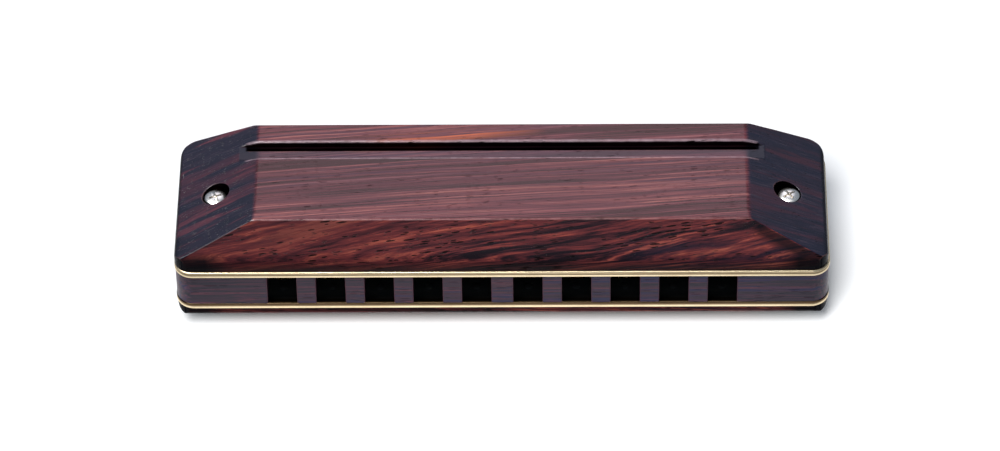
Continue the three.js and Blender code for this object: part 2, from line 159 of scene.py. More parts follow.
def inside(points, loop):
    """Which points lie inside a closed outline, by counting crossings."""
    x, y = points[:, 0], points[:, 1]
    result = np.zeros(len(points), bool)
    for (x0, y0), (x1, y1) in zip(loop, np.roll(loop, -1, 0)):
        if y0 == y1:
            continue
        result ^= ((y0 > y) != (y1 > y)) & (x < (x1 - x0) * (y - y0) / (y1 - y0) + x0)
    return result


def toward(cx, cy, distance):
    """A move in plan by a distance towards (cx, cy)."""

    def move(x, y):
        far = math.hypot(x - cx, y - cy)
        if far <= 1e-9:
            return x, y
        return x - (x - cx) / far * distance, y - (y - cy) / far * distance

    return move


def inset_rounded(x_end, y0, y1, radius, distance):
    """A move inwards, square to a rounded rectangle reaching from y0 to y1 from the front."""
    centre_x, front_y, back_y = x_end - radius, from_front(y0) + radius, from_front(y1) - radius

    def move(x, y):
        out_x = max(abs(x) - centre_x, 0.0) * (1 if x > 0 else -1)
        out_y = y - front_y if y < front_y else (y - back_y if y > back_y else 0.0)
        far = math.hypot(out_x, out_y)
        if far < 1e-9:
            return x, y
        return x - out_x / far * distance, y - out_y / far * distance

    return move


def smooth_min(a, b, blend):
    overlap = max(blend - abs(a - b), 0.0) / blend
    return min(a, b) - overlap * overlap * blend * 0.25


# ------------------------------------------------------------------ mesh building
class Solid:
    """A closed mesh put together from flat-laid triangulations and the walls between them."""

    def __init__(self):
        self.verts, self.faces = [], []

    def vert(self, x, y, z):
        self.verts.append((float(x), float(y), float(z)))
        return len(self.verts) - 1

    def ring(self, points):
        return [self.vert(*point) for point in points]

    def level_ring(self, cx, cy, radius, z, count):
        return self.ring([(x, y, z) for x, y in circle(cx, cy, radius, count)])

    def wall(self, a, b):
        for i in range(len(a)):
            j = (i + 1) % len(a)
            self.faces.append((a[i], a[j], b[j], b[i]))

    def cap(self, ring, tip):
        for i in range(len(ring)):
            self.faces.append((ring[i], ring[(i + 1) % len(ring)], tip))

    def turn(self, ring, cx, cy, profile):
        """Carries a ring on along a turned profile of (radius, z); returns the last ring."""
        for radius, z in profile:
            new = self.level_ring(cx, cy, radius, z, len(ring))
            self.wall(ring, new)
            ring = new
        return ring

    def drop(self, ring, height, move=None):
        """A copy of a ring joined to it by a wall. `height` is a number or a function of the
        old (x, y, z); `move` shifts the copy in plan."""
        new = []
        for x, y, z in [self.verts[i] for i in ring]:
            level = height(x, y, z) if callable(height) else height
            new.append(self.vert(*(move(x, y) if move else (x, y)), level))
        self.wall(ring, new)
        return new

    def plan(self, ring):
        return [self.verts[i][:2] for i in ring]

    def known(self, rings):
        return {
            (round(self.verts[i][0], 3), round(self.verts[i][1], 3)): i
            for ring in rings
            for i in ring
        }

    def close(self, rings, height):
        """Fills the area inside the first ring and outside the others."""
        self.sheet([self.plan(ring) for ring in rings], height, known=self.known(rings))

    def sheet(self, loops, height, lines=(), known=None):
        """Triangulates the area inside loops[0] and outside the others, lifts it with
        height(x, y) and returns the boundary rings in the order of the loops. Vertices whose
        (x, y) is in `known` are reused."""
        points, edges = [], []
        for loop in loops:
            base = len(points)
            points += [Vector((p[0], p[1])) for p in loop]
            edges += [(base + i, base + (i + 1) % len(loop)) for i in range(len(loop))]
        for line in lines:
            base = len(points)
            points += [Vector((p[0], p[1])) for p in line]
            edges += [(base + i, base + i + 1) for i in range(len(line) - 1)]
        flat, _, cells, _, _, _ = delaunay_2d_cdt(points, edges, [], 0, 1e-5, False)
        flat = np.array([(p[0], p[1]) for p in flat])
        triangles = np.array([list(cell) for cell in cells], int)
        centres = flat[triangles].mean(1)
        outlines = [np.array(loop) for loop in loops]
        keep = inside(centres, outlines[0])
        for outline in outlines[1:]:
            keep = keep & ~inside(centres, outline)
        triangles = triangles[keep]
        ids = {}
        for i in np.unique(triangles):
            x, y = flat[i]
            key = (round(x, 3), round(y, 3))
            ids[i] = known[key] if known and key in known else self.vert(x, y, height(x, y))
        for a, b, c in triangles:
            self.faces.append((ids[a], ids[b], ids[c]))
        rings = boundary_rings(triangles)

        def mismatch(ring, low, high):
            return np.abs(flat[ring].min(0) - low).sum() + np.abs(flat[ring].max(0) - high).sum()

        matched = []
        for outline in outlines:
            low, high = outline.min(0), outline.max(0)
            best = min(rings, key=lambda ring: mismatch(ring, low, high))
            matched.append([ids[i] for i in best])
        return matched


def boundary_rings(triangles):
    """Closed chains of the edges that belong to one triangle only."""
    edges = dict.fromkeys(edge for a, b, c in triangles for edge in ((a, b), (b, c), (c, a)))
    following = {a: b for a, b in edges if (b, a) not in edges}
    rings, seen = [], set()
    for start in following:
        if start in seen:
            continue
        ring, i = [], start
        while i not in seen:
            seen.add(i)
            ring.append(i)
            i = following[i]
        rings.append(ring)
    return rings


def to_bmesh(solid, flip=None):
    """The solid in metres; `flip` turns it upside down within that height."""
    bm = bmesh.new()
    verts = [
        bm.verts.new((x * MM, y * MM, (z if flip is None else flip - z) * MM))
        for x, y, z in solid.verts
    ]
    for face in solid.faces:
        corners = list(dict.fromkeys(face))
        if len(corners) < 3:
            continue
        try:
            bm.faces.new([verts[i] for i in corners])
        except ValueError:
            pass  # the same face may have been laid twice
    return bm


def shade_smooth(mesh, angle):
    for polygon in mesh.polygons:
        polygon.use_smooth = True
    mesh.set_sharp_from_angle(angle=math.radians(angle))


def finish_mesh(name, solid, material, node, body="body", angle=32, flip=None, cut=None):
    bm = to_bmesh(solid, flip)
    bmesh.ops.remove_doubles(bm, verts=bm.verts, dist=1.5e-6)
    loose = [v for v in bm.verts if not v.link_faces]
    bmesh.ops.delete(bm, geom=loose, context="VERTS")
    bmesh.ops.recalc_face_normals(bm, faces=bm.faces)
    if bm.calc_volume(signed=True) < 0:
        bmesh.ops.reverse_faces(bm, faces=bm.faces)
    mesh = bpy.data.meshes.new(name)
    bm.to_mesh(mesh)
    bm.free()
    shade_smooth(mesh, angle)
    piece = bpy.data.objects.new(name, mesh)
    bpy.context.scene.collection.objects.link(piece)
    mesh.materials.append(material)
    if cut:
        cut_recess(piece, **cut)
    weighted = piece.modifiers.new("weighted", "WEIGHTED_NORMAL")
    weighted.keep_sharp = True
    weighted.weight = 70
    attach(piece, body)
    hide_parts(node)


# ------------------------------------------------------------------ covers
# cross-section of the groove: depth from the front, depth cut below the cover
GROOVE_SECTION = [
    (18.30, 0.0), (18.40, 0.012), (18.48, 0.045), (18.55, 0.11), (18.60, 0.24),
    (18.64, 0.65), (18.68, 3.0), (21.84, 3.0), (21.86, 0.25), (21.92, 0.12),
    (22.02, 0.05), (22.16, 0.012), (22.32, 0.0),
]
GROOVE_DEPTHS, GROOVE_CUTS = (list(column) for column in zip(*GROOVE_SECTION))
GROOVE_FILLET_START, GROOVE_FILLET_W, GROOVE_FILLET_H = 18.68, 0.45, 0.18

# rounded mouth of a pocket: step towards its middle, step down
POCKET_MOUTH = [(0.07, 0.012), (0.05, 0.045), (0.03, 0.09), (0.01, 0.2)]
POCKET_RIM = 0.16
NUT_CLEARANCE = 0.12


class Facet:
    """A sloping facet with a rounded foot; distances are measured in from the wall."""

    def __init__(self, knee, slope, foot_radius):
        self.knee, self.slope = knee, slope
        self.turn = math.pi / 2 - math.atan(slope)
        half = math.tan(self.turn / 2)
        self.start = max(0.3, knee - foot_radius * half)
        self.radius = (knee - self.start) / half
        self.foot_end = self.radius * (1 - math.cos(self.turn))

    def height(self, distance):
        if distance >= self.foot_end:
            return self.knee + self.slope * distance
        rest = self.radius - max(distance, 0.0)
        return self.start + math.sqrt(max(self.radius * self.radius - rest**2, 0.0))

    def foot_steps(self, count):
        steps = np.linspace(0.0, 1.0, count)[1:]
        return [self.radius * (1 - math.cos(self.turn * step)) for step in steps]


def cover_lines(front, end, y_front, y_back, x_end):
    """Mesh lines along every bend of the outside of a cover."""
    depths = [y_front + step for step in front.foot_steps(12)]
    depths += [
        RIDGE_Y + step for step in (-0.42, -0.26, -0.16, -0.08, 0.0, 0.08, 0.16, 0.26, 0.42)
    ]
    depths += [1.6, 2.4, 3.2, 4.0, 7.5, 10.2, 12.95, 15.6, 17.4]
    depths += GROOVE_DEPTHS + [18.78, 18.95, 19.15, 19.7, 20.4]
    depths += [22.8, 23.8, 24.8]
    depths += [
        y_back - BACK_R + BACK_R * math.sin(math.radians(min(angle, 88)))
        for angle in range(0, 91, 10)
    ]
    lines = [line_x(depth) for depth in depths]
    groove_end = RIDGE_X + GROOVE_D / END_SLOPE
    hip_run = 13.2
    hip_fall = hip_run * END_SLOPE / FRONT_SLOPE
    for side in (-1, 1):
        lines += [line_y(side * (x_end - step)) for step in end.foot_steps(9)]
        for step in (-0.6, -0.35, -0.15, 0.0, 0.15, 0.35, 0.6):
            lines.append(line_y(side * (RIDGE_X + step)))
        for step in (-0.25, -0.1, 0.0, 0.1):
            x = side * (groove_end + step)
            lines.append(line_y(x, from_front(18.2), from_front(22.4)))
        lines += [line_y(side * x) for x in (41.9, 43.2, 45.6, 46.9, 48.1)]
        # front hip, from the front corner of the flat towards the plan corner
        hip_x = side * RIDGE_X
        for step in (-0.3, -0.18, -0.08, 0.0, 0.08, 0.18, 0.3):
            y = from_front(RIDGE_Y) + step
            lines.append([(hip_x, y), (hip_x + side * hip_run, y - hip_fall)])
    return lines + [line_y(x) for x in np.linspace(-34, 34, 14)]


def pocket_outline(side, nuts):
    """A hexagon for a nut, with four points a side, or a circle for a screw head."""
    cy = from_front(SCREW_Y)
    if not nuts:
        return circle(side * BORE_X, cy, BORE_R + POCKET_RIM, 64)
    corners = circle(side * SCREW_X, cy, NUT_R + NUT_CLEARANCE + POCKET_RIM, 6)
    outline = []
    for k in range(6):
        a, b = Vector(corners[k]), Vector(corners[(k + 1) % 6])
        outline += [tuple(a.lerp(b, share)) for share in (0.0, 0.25, 0.5, 0.75)]
    return outline


def sink_pocket(solid, ring, side, nuts):
    """Sinks a pocket to its seat and a screw hole from there to the underside."""
    cx, cy = side * (SCREW_X if nuts else BORE_X), from_front(SCREW_Y)
    seat = NUT_SEAT if nuts else HEAD_SEAT
    steepness = 0.6 if nuts else 1.0
    for inward, down in POCKET_MOUTH:
        ring = solid.drop(ring, lambda x, y, z: z - down * steepness, toward(cx, cy, inward))
    ring = solid.drop(ring, seat + 0.06)
    ring = solid.drop(ring, seat, toward(cx, cy, 0.06))
    hole_x, mouth_r = side * SCREW_X, 1.22

    def to_hole(x, y):
        angle = math.atan2(y - cy, x - cx)
        return hole_x + mouth_r * math.cos(angle), cy + mouth_r * math.sin(angle)

    ring = solid.drop(ring, seat, to_hole)
    ring = solid.drop(ring, seat - 0.07, toward(hole_x, cy, 0.07))
    return solid.drop(ring, 0.0)


def build_hollow(solid, slot_ring, height):
    """The hollow under a cover, joined to the slot; returns its rim at the underside."""
    roof = height - ROOF_T
    low = roof - CAV_FRONT_DROP

    def ceiling(x, y):
        z = low + (y - FRONT - CAV_FRONT) * FRONT_SLOPE
        z = smooth_min(roof, z, 0.3)
        end = roof - CAV_END_DROP + (CAV_X - abs(x)) * CAV_END_DROP / CAV_END_RUN
        return smooth_min(z, end, 0.3)

    slot_foot = solid.drop(slot_ring, lambda x, y, z: ceiling(x, y))
    outline = rounded(
        -CAV_X, CAV_X, from_front(CAV_FRONT), from_front(CAV_BACK), CAV_CORNER, 8
    )
    bend = CAV_FRONT + CAV_FRONT_DROP / FRONT_SLOPE
    lines = [line_x(bend + step) for step in (-0.5, -0.25, 0, 0.25, 0.5)]
    for side in (-1, 1):
        for step in (-0.6, -0.3, 0, 0.3, 0.6):
            x = side * (CAV_X - CAV_END_RUN + step)
            # these lines stop short of the slot
            lines.append(line_y(x, back=from_front(20.6)))
            lines.append(line_y(x, front=from_front(21.9)))
    rings = solid.sheet(
        [outline, solid.plan(slot_foot)], ceiling, lines, known=solid.known([slot_foot])
    )
    return solid.drop(rings[0], 0.0)


def build_cover(height, foot_radius, nuts):
    """A cover with its underside at z = 0; `nuts` gives it nut pockets, not screw bores."""
    y_front, y_back = COVER_INSET, DEPTH - COVER_INSET
    x_end, corner = LENGTH / 2 - COVER_END_INSET, CORNER - COVER_INSET
    front = Facet(height - (RIDGE_Y - y_front) * FRONT_SLOPE, FRONT_SLOPE, foot_radius)
    end = Facet(height - (x_end - RIDGE_X) * END_SLOPE, END_SLOPE, END_FOOT_R)

    def outside(x, depth):
        front_z = front.height(depth - y_front)
        end_z = end.height(x_end - abs(x))
        blend = 0.14 + 0.3 * min(max((depth - RIDGE_Y - 0.5) / 2.0, 0.0), 1.0)
        z = smooth_min(smooth_min(front_z, height, 0.22), end_z, blend)
        past = depth - (y_back - BACK_R)
        if past > 0:
            fall = BACK_R - math.sqrt(max(BACK_R**2 - past * past, 0.0))
            z = smooth_min(min(z, height - fall), end_z, 0.1)
        return z

    def top(x, y):
        depth = y - FRONT
        z = outside(x, depth)
        if GROOVE_DEPTHS[0] < depth < GROOVE_DEPTHS[-1]:
            cut = float(np.interp(depth, GROOVE_DEPTHS, GROOVE_CUTS))
            fillet = max(0.0, 1 - (depth - GROOVE_FILLET_START) / GROOVE_FILLET_W)
            floor = height - GROOVE_D + GROOVE_FILLET_H * fillet**2
            z = min(z, max(z - cut, smooth_min(floor, z + 0.02, 0.06)))
        return z

    solid = Solid()
    outline = rounded(-x_end, x_end, from_front(y_front), from_front(y_back), corner, 14)
    slot_r = (SLOT_BACK - SLOT_FRONT) / 2
    slot_y = from_front((SLOT_BACK + SLOT_FRONT) / 2)
    slot = arc(SLOT_X - slot_r, slot_y, slot_r, -90, 90, 8)
    slot += arc(-SLOT_X + slot_r, slot_y, slot_r, 90, 270, 8)
    pockets = [pocket_outline(side, nuts) for side in (-1, 1)]
    lines = cover_lines(front, end, y_front, y_back, x_end)
    outline_ring, slot_ring, *pocket_rings = solid.sheet([outline, slot] + pockets, top, lines)
    # outer wall, with a fine arris where it meets the plate
    foot = solid.drop(outline_ring, 0.07)
    foot = solid.drop(foot, 0.0, inset_rounded(x_end, y_front, y_back, corner, 0.06))
    holes = [sink_pocket(solid, ring, side, nuts) for side, ring in zip((-1, 1), pocket_rings)]
    rim = build_hollow(solid, slot_ring, height)
    solid.close([foot, rim] + holes, lambda x, y: 0.0)
    return solid


# ------------------------------------------------------------------ flat parts
def build_comb():
    """The comb: one outline that runs in and out of the ten chambers, open to the front."""
    x_end, radius = LENGTH / 2 - COMB_INSET, CORNER - COMB_INSET
    front, back = from_front(COMB_INSET), from_front(DEPTH - COMB_INSET)
    outline = arc(x_end - radius, back - radius, radius, 0, 90, 12)
    outline += arc(-x_end + radius, back - radius, radius, 90, 180, 12)
    outline += arc(-x_end + radius, front + radius, radius, 180, 270, 12)
    lip, inner = 0.16, 0.9  # radii at the mouth and at the rear of a chamber
    for hole in HOLES:
        left, right = hole.x - CHAMBER_W / 2, hole.x + CHAMBER_W / 2
        rear = from_front(hole.chamber)
        outline += arc(left - lip, front + lip, lip, 270, 360, 4)
        outline += arc(left + inner, rear - inner, inner, 180, 90, 6)
        outline += arc(right - inner, rear - inner, inner, 90, 0, 6)
        outline += arc(right + lip, front + lip, lip, 180, 270, 4)
    outline += arc(x_end - radius, front + radius, radius, 270, 360, 12)
    solid = Solid()
    upper = solid.sheet([outline] + screw_holes(24), lambda x, y: Z_BLOW)
    lower = [solid.drop(ring, Z_COMB) for ring in upper]
    solid.close(lower, lambda x, y: Z_COMB)
    return solid


# edge of a sheared plate from the top down: distance out, height above the underside
SHEARED_EDGE = [
    (0.045, 0.994), (0.085, 0.976), (0.122, 0.945), (0.152, 0.905), (0.174, 0.855),
    (0.186, 0.80), (0.188, 0.74), (0.160, 0.60), (0.150, 0.52), (0.165, 0.48),
    (0.188, 0.43), (0.200, 0.36), (0.200, 0.17), (0.190, 0.075), (0.160, 0.018),
    (0.110, 0.0),
]
SHEARED_W = 0.2


def build_plate(z0):
    """Sheet metal cut by shearing: rolled-over top edge, a rough upper band and a burnished
    lower band."""
    solid = Solid()
    x_end, y_front, y_back = LENGTH / 2 - SHEARED_W, SHEARED_W, DEPTH - SHEARED_W
    corner = CORNER - SHEARED_W
    outline = rounded(-x_end, x_end, from_front(y_front), from_front(y_back), corner, 14)
    holes = []
    for hole in HOLES:
        half = hole.width / 2 + 0.05
        left, right = hole.x - half, hole.x + half
        near, far = from_front(SLIT_FRONT), from_front(hole.end)
        holes.append([(left, near), (right, near), (right, far), (left, far)])
    holes += [circle(hole.x, from_front(RIVET_Y), RIVET_R + 0.05, 20) for hole in HOLES]
    holes += screw_holes(28)
    upper = solid.sheet([outline] + holes, lambda x, y: z0 + PLATE_T)

    inset = inset_rounded(x_end, y_front, y_back, corner, 1.0)
    edge = solid.plan(upper[0])
    outward = [(x - a, y - b) for (x, y), (a, b) in zip(edge, [inset(*p) for p in edge])]
    ring = upper[0]
    for out, z in SHEARED_EDGE:
        new = solid.ring(
            [(x + dx * out, y + dy * out, z0 + z) for (x, y), (dx, dy) in zip(edge, outward)]
        )
        solid.wall(ring, new)
        ring = new
    lower = [ring] + [solid.drop(hole, z0) for hole in upper[1:]]
    solid.close(lower, lambda x, y: z0)
    return solid


def soft_corner(x, y, arrive, leave, radius, count=4):
    """A corner rounded between two directions, both pointing away from it."""
    points = []
    for k in range(count + 1):
        t = k / count
        a, b = (1 - t) ** 2, t**2
        points.append(
            (
                x + arrive[0] * radius * a + leave[0] * radius * b,
                y + arrive[1] * radius * a + leave[1] * radius * b,
            )
        )
    return points


def build_reed(hole, plate_z):
    """A tongue with a wide riveted pad at the front; weighted reeds thicken at the tip."""
    x, half = hole.x, hole.width / 2
    pad_half, pad_corner, tip_corner = 1.55, 0.4, 0.12
    pad_front, pad_back = from_front(RIVET_Y - 1.45), from_front(RIVET_Y + 1.45)
    tip = from_front(hole.end) - 0.12
    top = plate_z - REED_GAP
    under, thin = top - hole.thick, top - hole.thick * 0.82
    # underside of the tongue: y, z
    if hole.weighted:
        section = [
            (pad_front - 1, under), (pad_back + 1.2, under), (tip - 5.2, thin),
            (tip - 4.0, thin), (tip - 3.2, under - 0.2), (tip + 1, under - 0.2),
        ]
    else:
        section = [(pad_front - 1, under), (pad_back + 1.2, under), (tip + 1, thin)]
    section_y, section_z = zip(*section)

    def underside(x, y, z=None):
        return float(np.interp(y, section_y, section_z))

    east, west, north, south = (1, 0), (-1, 0), (0, 1), (0, -1)
    outline = soft_corner(x - pad_half, pad_front, north, east, pad_corner)
    outline += soft_corner(x + pad_half, pad_front, west, north, pad_corner)
    outline += soft_corner(x + pad_half, pad_back, south, west, pad_corner)
    outline.append((x + half, pad_back))
    outline += soft_corner(x + half, tip, south, west, tip_corner, 3)
    outline += soft_corner(x - half, tip, east, south, tip_corner, 3)
    outline.append((x - half, pad_back))
    outline += soft_corner(x - pad_half, pad_back, east, south, pad_corner)
    rivet_hole = circle(x, from_front(RIVET_Y), RIVET_R + 0.06, 20)

    chamfer = 0.03

    def chamfered(a, b):
        along = chamfer if b < pad_front + 0.5 else (-chamfer if b > tip - 0.3 else 0)
        return a + (chamfer if a < x else -chamfer) * 0.8, b + along * 0.8

    solid = Solid()
    outer, inner = solid.sheet([outline, rivet_hole], lambda a, b: top)
    outer = solid.drop(outer, lambda a, b, z: underside(a, b) + chamfer)
    outer = solid.drop(outer, underside, chamfered)
    inner = solid.drop(inner, underside)
    solid.close([outer, inner], underside)
    return solid


# ------------------------------------------------------------------ turned parts
def build_rivet(hole, plate_z):
    """A pin with a domed head under the reed pad and a low flat head above the plate."""
    head = plate_z - REED_GAP - hole.thick - 0.1
    over = plate_z + PLATE_T
    bottom = head - 0.34
    profile = []
    for k in range(1, 6):
        angle = math.radians(18 * k)
        profile.append((0.8 * math.sin(angle) ** 0.9, bottom + 0.30 * (1 - math.cos(angle))))
    profile += [
        (0.81, head - 0.02), (0.80, head), (RIVET_R, head),
        (RIVET_R, over), (0.66, over), (0.68, over + 0.03),
    ]
    for k in range(1, 5):
        angle = math.radians(90 - 20 * k)
        profile.append((0.66 * math.sin(angle), over + 0.03 + 0.125 * math.cos(angle)))
    cx, cy = hole.x, from_front(RIVET_Y)
    solid = Solid()
    tip = solid.vert(cx, cy, bottom)
    ring = solid.level_ring(cx, cy, *profile[0], 28)
    solid.cap(ring, tip)
    ring = solid.turn(ring, cx, cy, profile[1:])
    solid.cap(ring, solid.vert(cx, cy, over + 0.155))
    return solid


def add_thread(solid, ring, cx, cy, z0, z1, radius):
    """A helical thread from z0 to z1 on top of a ring; it fades out at both ends."""
    pitch, depth, fade_length = 0.4, 0.18, 0.3
    count = len(ring)
    rows = int((z1 - z0) / pitch * 6)
    for k in range(rows + 1):
        z = z0 + (z1 - z0) * k / rows
        fade = min(1.0, (z - z0) / fade_length, (z1 - z) / fade_length)
        points = []
        for j in range(count):
            angle = 2 * math.pi * j / count
            crest = abs(2 * ((z / pitch - j / count) % 1.0) - 1)
            r = radius - depth * (1 - crest) * fade
            points.append((cx + r * math.cos(angle), cy + r * math.sin(angle), z))
        new = solid.ring(points)
        solid.wall(ring, new)
        ring = new
    return ring


def build_screw(cx, cy, seat, end, shank_r, head_r, side_h, dome_h, count=48):
    """Pan-head screw with a helical thread; the cross recess is cut afterwards."""
    solid = Solid()
    tip = solid.vert(cx, cy, end)
    ring = solid.level_ring(cx, cy, shank_r - 0.22, end, count)
    solid.cap(ring, tip)
    ring = solid.turn(ring, cx, cy, [(shank_r - 0.02, end + 0.2)])
    ring = add_thread(solid, ring, cx, cy, end + 0.22, seat - 0.5, shank_r - 0.01)
    dome_r, dome_z, top = head_r - 0.10, seat + side_h + 0.10, seat + side_h + dome_h
    profile = [
        (shank_r - 0.01, seat - 0.08),
        (shank_r + 0.06, seat),
        (head_r - 0.06, seat),
        (head_r, seat + 0.06),
        (head_r, seat + side_h - 0.10),
        (head_r - 0.03, seat + side_h),
        (dome_r, dome_z),
    ]
    for k in range(1, 8):
        angle = k / 8 * math.pi / 2
        rise = (top - dome_z) * math.sin(angle) ** 1.1
        profile.append((dome_r * math.cos(angle) ** 0.9, dome_z + rise))
    ring = solid.turn(ring, cx, cy, profile)
    solid.cap(ring, solid.vert(cx, cy, top))
    return solid


def cross_cutter(cx, cy, top, reach, width, depth, turn):
    """Tapered four-winged cross with a cone between the wings."""
    solid = Solid()
    for angle in (turn, turn + math.pi / 2):
        ca, sa = math.cos(angle), math.sin(angle)
        levels = []
        for half, z, wide in (
            (reach * 1.06, 0.4, width * 1.1),
            (reach, 0.0, width),
            (reach * 0.42, -depth, width * 0.7),
        ):
            corners = [
                (side_x * half, side_y * wide / 2)
                for side_x, side_y in ((-1, -1), (1, -1), (1, 1), (-1, 1))
            ]
            levels.append(
                solid.ring([(cx + u * ca - v * sa, cy + u * sa + v * ca, top + z) for u, v in corners])
            )
        close_levels(solid, levels)
    cone = ((width * 1.05, 0.4), (width * 1.0, 0.0), (width * 0.62, -depth * 0.98))
    close_levels(solid, [solid.level_ring(cx, cy, radius, top + z, 16) for radius, z in cone])
    bm = to_bmesh(solid)
    bmesh.ops.recalc_face_normals(bm, faces=bm.faces)
    mesh = bpy.data.meshes.new("cutter")
    bm.to_mesh(mesh)
    bm.free()
    cutter = bpy.data.objects.new("cutter", mesh)
    bpy.context.scene.collection.objects.link(cutter)
    return cutter


def close_levels(solid, levels):
    """Walls between three rings, and a flat face on the first and the last."""
    solid.wall(levels[0], levels[1])
    solid.wall(levels[1], levels[2])
    solid.faces.append(tuple(levels[0]))
    solid.faces.append(tuple(reversed(levels[2])))


def cut_recess(piece, **recess):
    cutter = cross_cutter(**recess)
    cut = piece.modifiers.new("recess", "BOOLEAN")
    cut.operation = "DIFFERENCE"
    cut.solver = "EXACT"
    cut.use_self = True
    cut.object = cutter
    bpy.context.view_layer.update()
    depsgraph = bpy.context.evaluated_depsgraph_get()
    new = bpy.data.meshes.new_from_object(piece.evaluated_get(depsgraph))
    piece.modifiers.clear()
    old = piece.data
    piece.data = new
    new.name = old.name
    bpy.data.meshes.remove(old)
    bpy.data.objects.remove(cutter)
    bm = bmesh.new()
    bm.from_mesh(new)
    bmesh.ops.remove_doubles(bm, verts=bm.verts, dist=1e-7)
    bm.to_mesh(new)
    bm.free()
    shade_smooth(new, 34)


def build_nut(cx, cy, z0, z1, count=72):
    """Hexagonal nut with a corner on +X, corners chamfered on both faces, plain bore."""
    solid = Solid()
    half_flats = NUT_FLATS / 2
    face_r, mouth_r, bore_r, mouth_d = half_flats * 0.97, 1.2, 1.05, 0.15

    def hexagon(z, slope):
        points = []
        for k in range(count):
            angle = 2 * math.pi * k / count
            off_flat = (angle + math.pi / 3) % (math.pi / 3) - math.pi / 6
            r = half_flats / math.cos(off_flat)
            points.append(
                (cx + r * math.cos(angle), cy + r * math.sin(angle), z + (r - face_r) * slope)
            )
        return solid.ring(points)

    outer_top, outer_bottom = hexagon(z1, -0.55), hexagon(z0, 0.55)
    face_top, face_bottom, mouth_top, mouth_bottom, bore_top, bore_bottom = (
        solid.level_ring(cx, cy, radius, z, count)
        for radius, z in (
            (face_r, z1), (face_r, z0), (mouth_r, z1), (mouth_r, z0),
            (bore_r, z1 - mouth_d), (bore_r, z0 + mouth_d),
        )
    )
    section = [
        outer_top, outer_bottom, face_bottom, mouth_bottom,
        bore_bottom, bore_top, mouth_top, face_top,
    ]
    for a, b in zip(section, section[1:] + section[:1]):
        solid.wall(a, b)
    return solid


# ------------------------------------------------------------------ shader building
class Signal:
    """An output of a shader node. Arithmetic on it adds a Math node, or a Vector Math node
    when the other side is a tuple."""

    def __init__(self, tree, socket):
        self.tree, self.socket = tree, socket

    def math(self, operation, other=None):
        vector = isinstance(other, tuple)
        kind = "ShaderNodeVectorMath" if vector else "ShaderNodeMath"
        inputs = {0: self} if other is None else {0: self, 1: other}
        return self.tree.signal(kind, inputs, operation=operation)

    def __add__(self, other):
        return self.math("ADD", other)

    def __sub__(self, other):
        return self.math("SUBTRACT", other)

    def __rsub__(self, other):
        return self.tree.signal("ShaderNodeMath", {0: other, 1: self}, operation="SUBTRACT")

    def __mul__(self, other):
        return self.math("MULTIPLY", other)

    def __pow__(self, other):
        return self.math("POWER", other)

    def __lt__(self, other):
        return self.math("LESS_THAN", other)

    def __gt__(self, other):
        return self.math("GREATER_THAN", other)

    def __abs__(self):
        return self.math("ABSOLUTE")

    def sqrt(self):
        return self.math("SQRT")

    def max(self, other):
        return self.math("MAXIMUM", other)

    def min(self, other):
        return self.math("MINIMUM", other)

    def fade(self, start, end, low=0.0, high=1.0, kind="LINEAR"):
        """Goes from low to high as the signal goes from start to end, and stays there."""
        inputs = {0: self, 1: start, 2: end, 3: low, 4: high}
        return self.tree.signal("ShaderNodeMapRange", inputs, interpolation_type=kind, clamp=True)

    def ease(self, start, end):
        return self.fade(start, end, kind="SMOOTHSTEP")

    def noise(self, detail, roughness=0.5, distortion=0.0):
        inputs = {
            "Vector": self, "Scale": 1.0, "Detail": detail,
            "Roughness": roughness, "Distortion": distortion,
        }
        return self.tree.signal("ShaderNodeTexNoise", inputs, "Fac")

    def split(self):
        node = self.tree.node("ShaderNodeSeparateXYZ", {0: self})
        return [Signal(self.tree, socket) for socket in node.outputs]


class Tree:
    """A new material and short hand for building its nodes."""

    def __init__(self, name):
        self.material = bpy.data.materials.new(name)
        self.material.use_nodes = True
        self.tree = self.material.node_tree
        self.tree.nodes.clear()

    def node(self, kind, inputs=None, **settings):
        node = self.tree.nodes.new(kind)
        for key, value in settings.items():
            setattr(node, key, value)
        for key, value in (inputs or {}).items():
            if isinstance(value, Signal):
                self.tree.links.new(value.socket, node.inputs[key])
            else:
                node.inputs[key].default_value = value
        return node

    def signal(self, kind, inputs=None, output=0, **settings):
        return Signal(self, self.node(kind, inputs, **settings).outputs[output])

    def combine(self, x, y, z):
        return self.signal("ShaderNodeCombineXYZ", {0: x, 1: y, 2: z})

    def place(self):
        """Position in millimetres, the same at every pose."""
        place = self.signal("ShaderNodeTexCoord", output="Object")
        return self.signal("ShaderNodeVectorMath", {0: place, 3: 1000.0}, operation="SCALE")

    def ramp(self, factor, stops):
        node = self.node("ShaderNodeValToRGB", {0: factor})
        ramp = node.color_ramp
        ramp.interpolation = "LINEAR"
        while len(ramp.elements) > 1:
            ramp.elements.remove(ramp.elements[-1])
        ramp.elements[0].position = stops[0][0]
        ramp.elements[0].color = linear(stops[0][1])
        for position, colour in stops[1:]:
            ramp.elements.new(position).color = linear(colour)
        return Signal(self, node.outputs["Color"])

    def mix(self, factor, a, b, mode="MIX"):
        colours = [c if isinstance(c, Signal) else linear(c) for c in (a, b)]
        # inputs 6 and 7 and output 2 are the colour ones
        inputs = {0: factor, 6: colours[0], 7: colours[1]}
        settings = {"data_type": "RGBA", "blend_type": mode, "clamp_factor": True}
        return self.signal("ShaderNodeMix", inputs, 2, **settings)

    def bump(self, height, strength, distance):
        inputs = {"Strength": strength, "Distance": distance, "Height": height}
        return self.signal("ShaderNodeBump", inputs)

    def finish(self, inputs):
        """Closes the tree with a Principled shader and returns the material."""
        surface = self.signal("ShaderNodeBsdfPrincipled", inputs)
        self.node("ShaderNodeOutputMaterial", {0: surface})
        return self.material


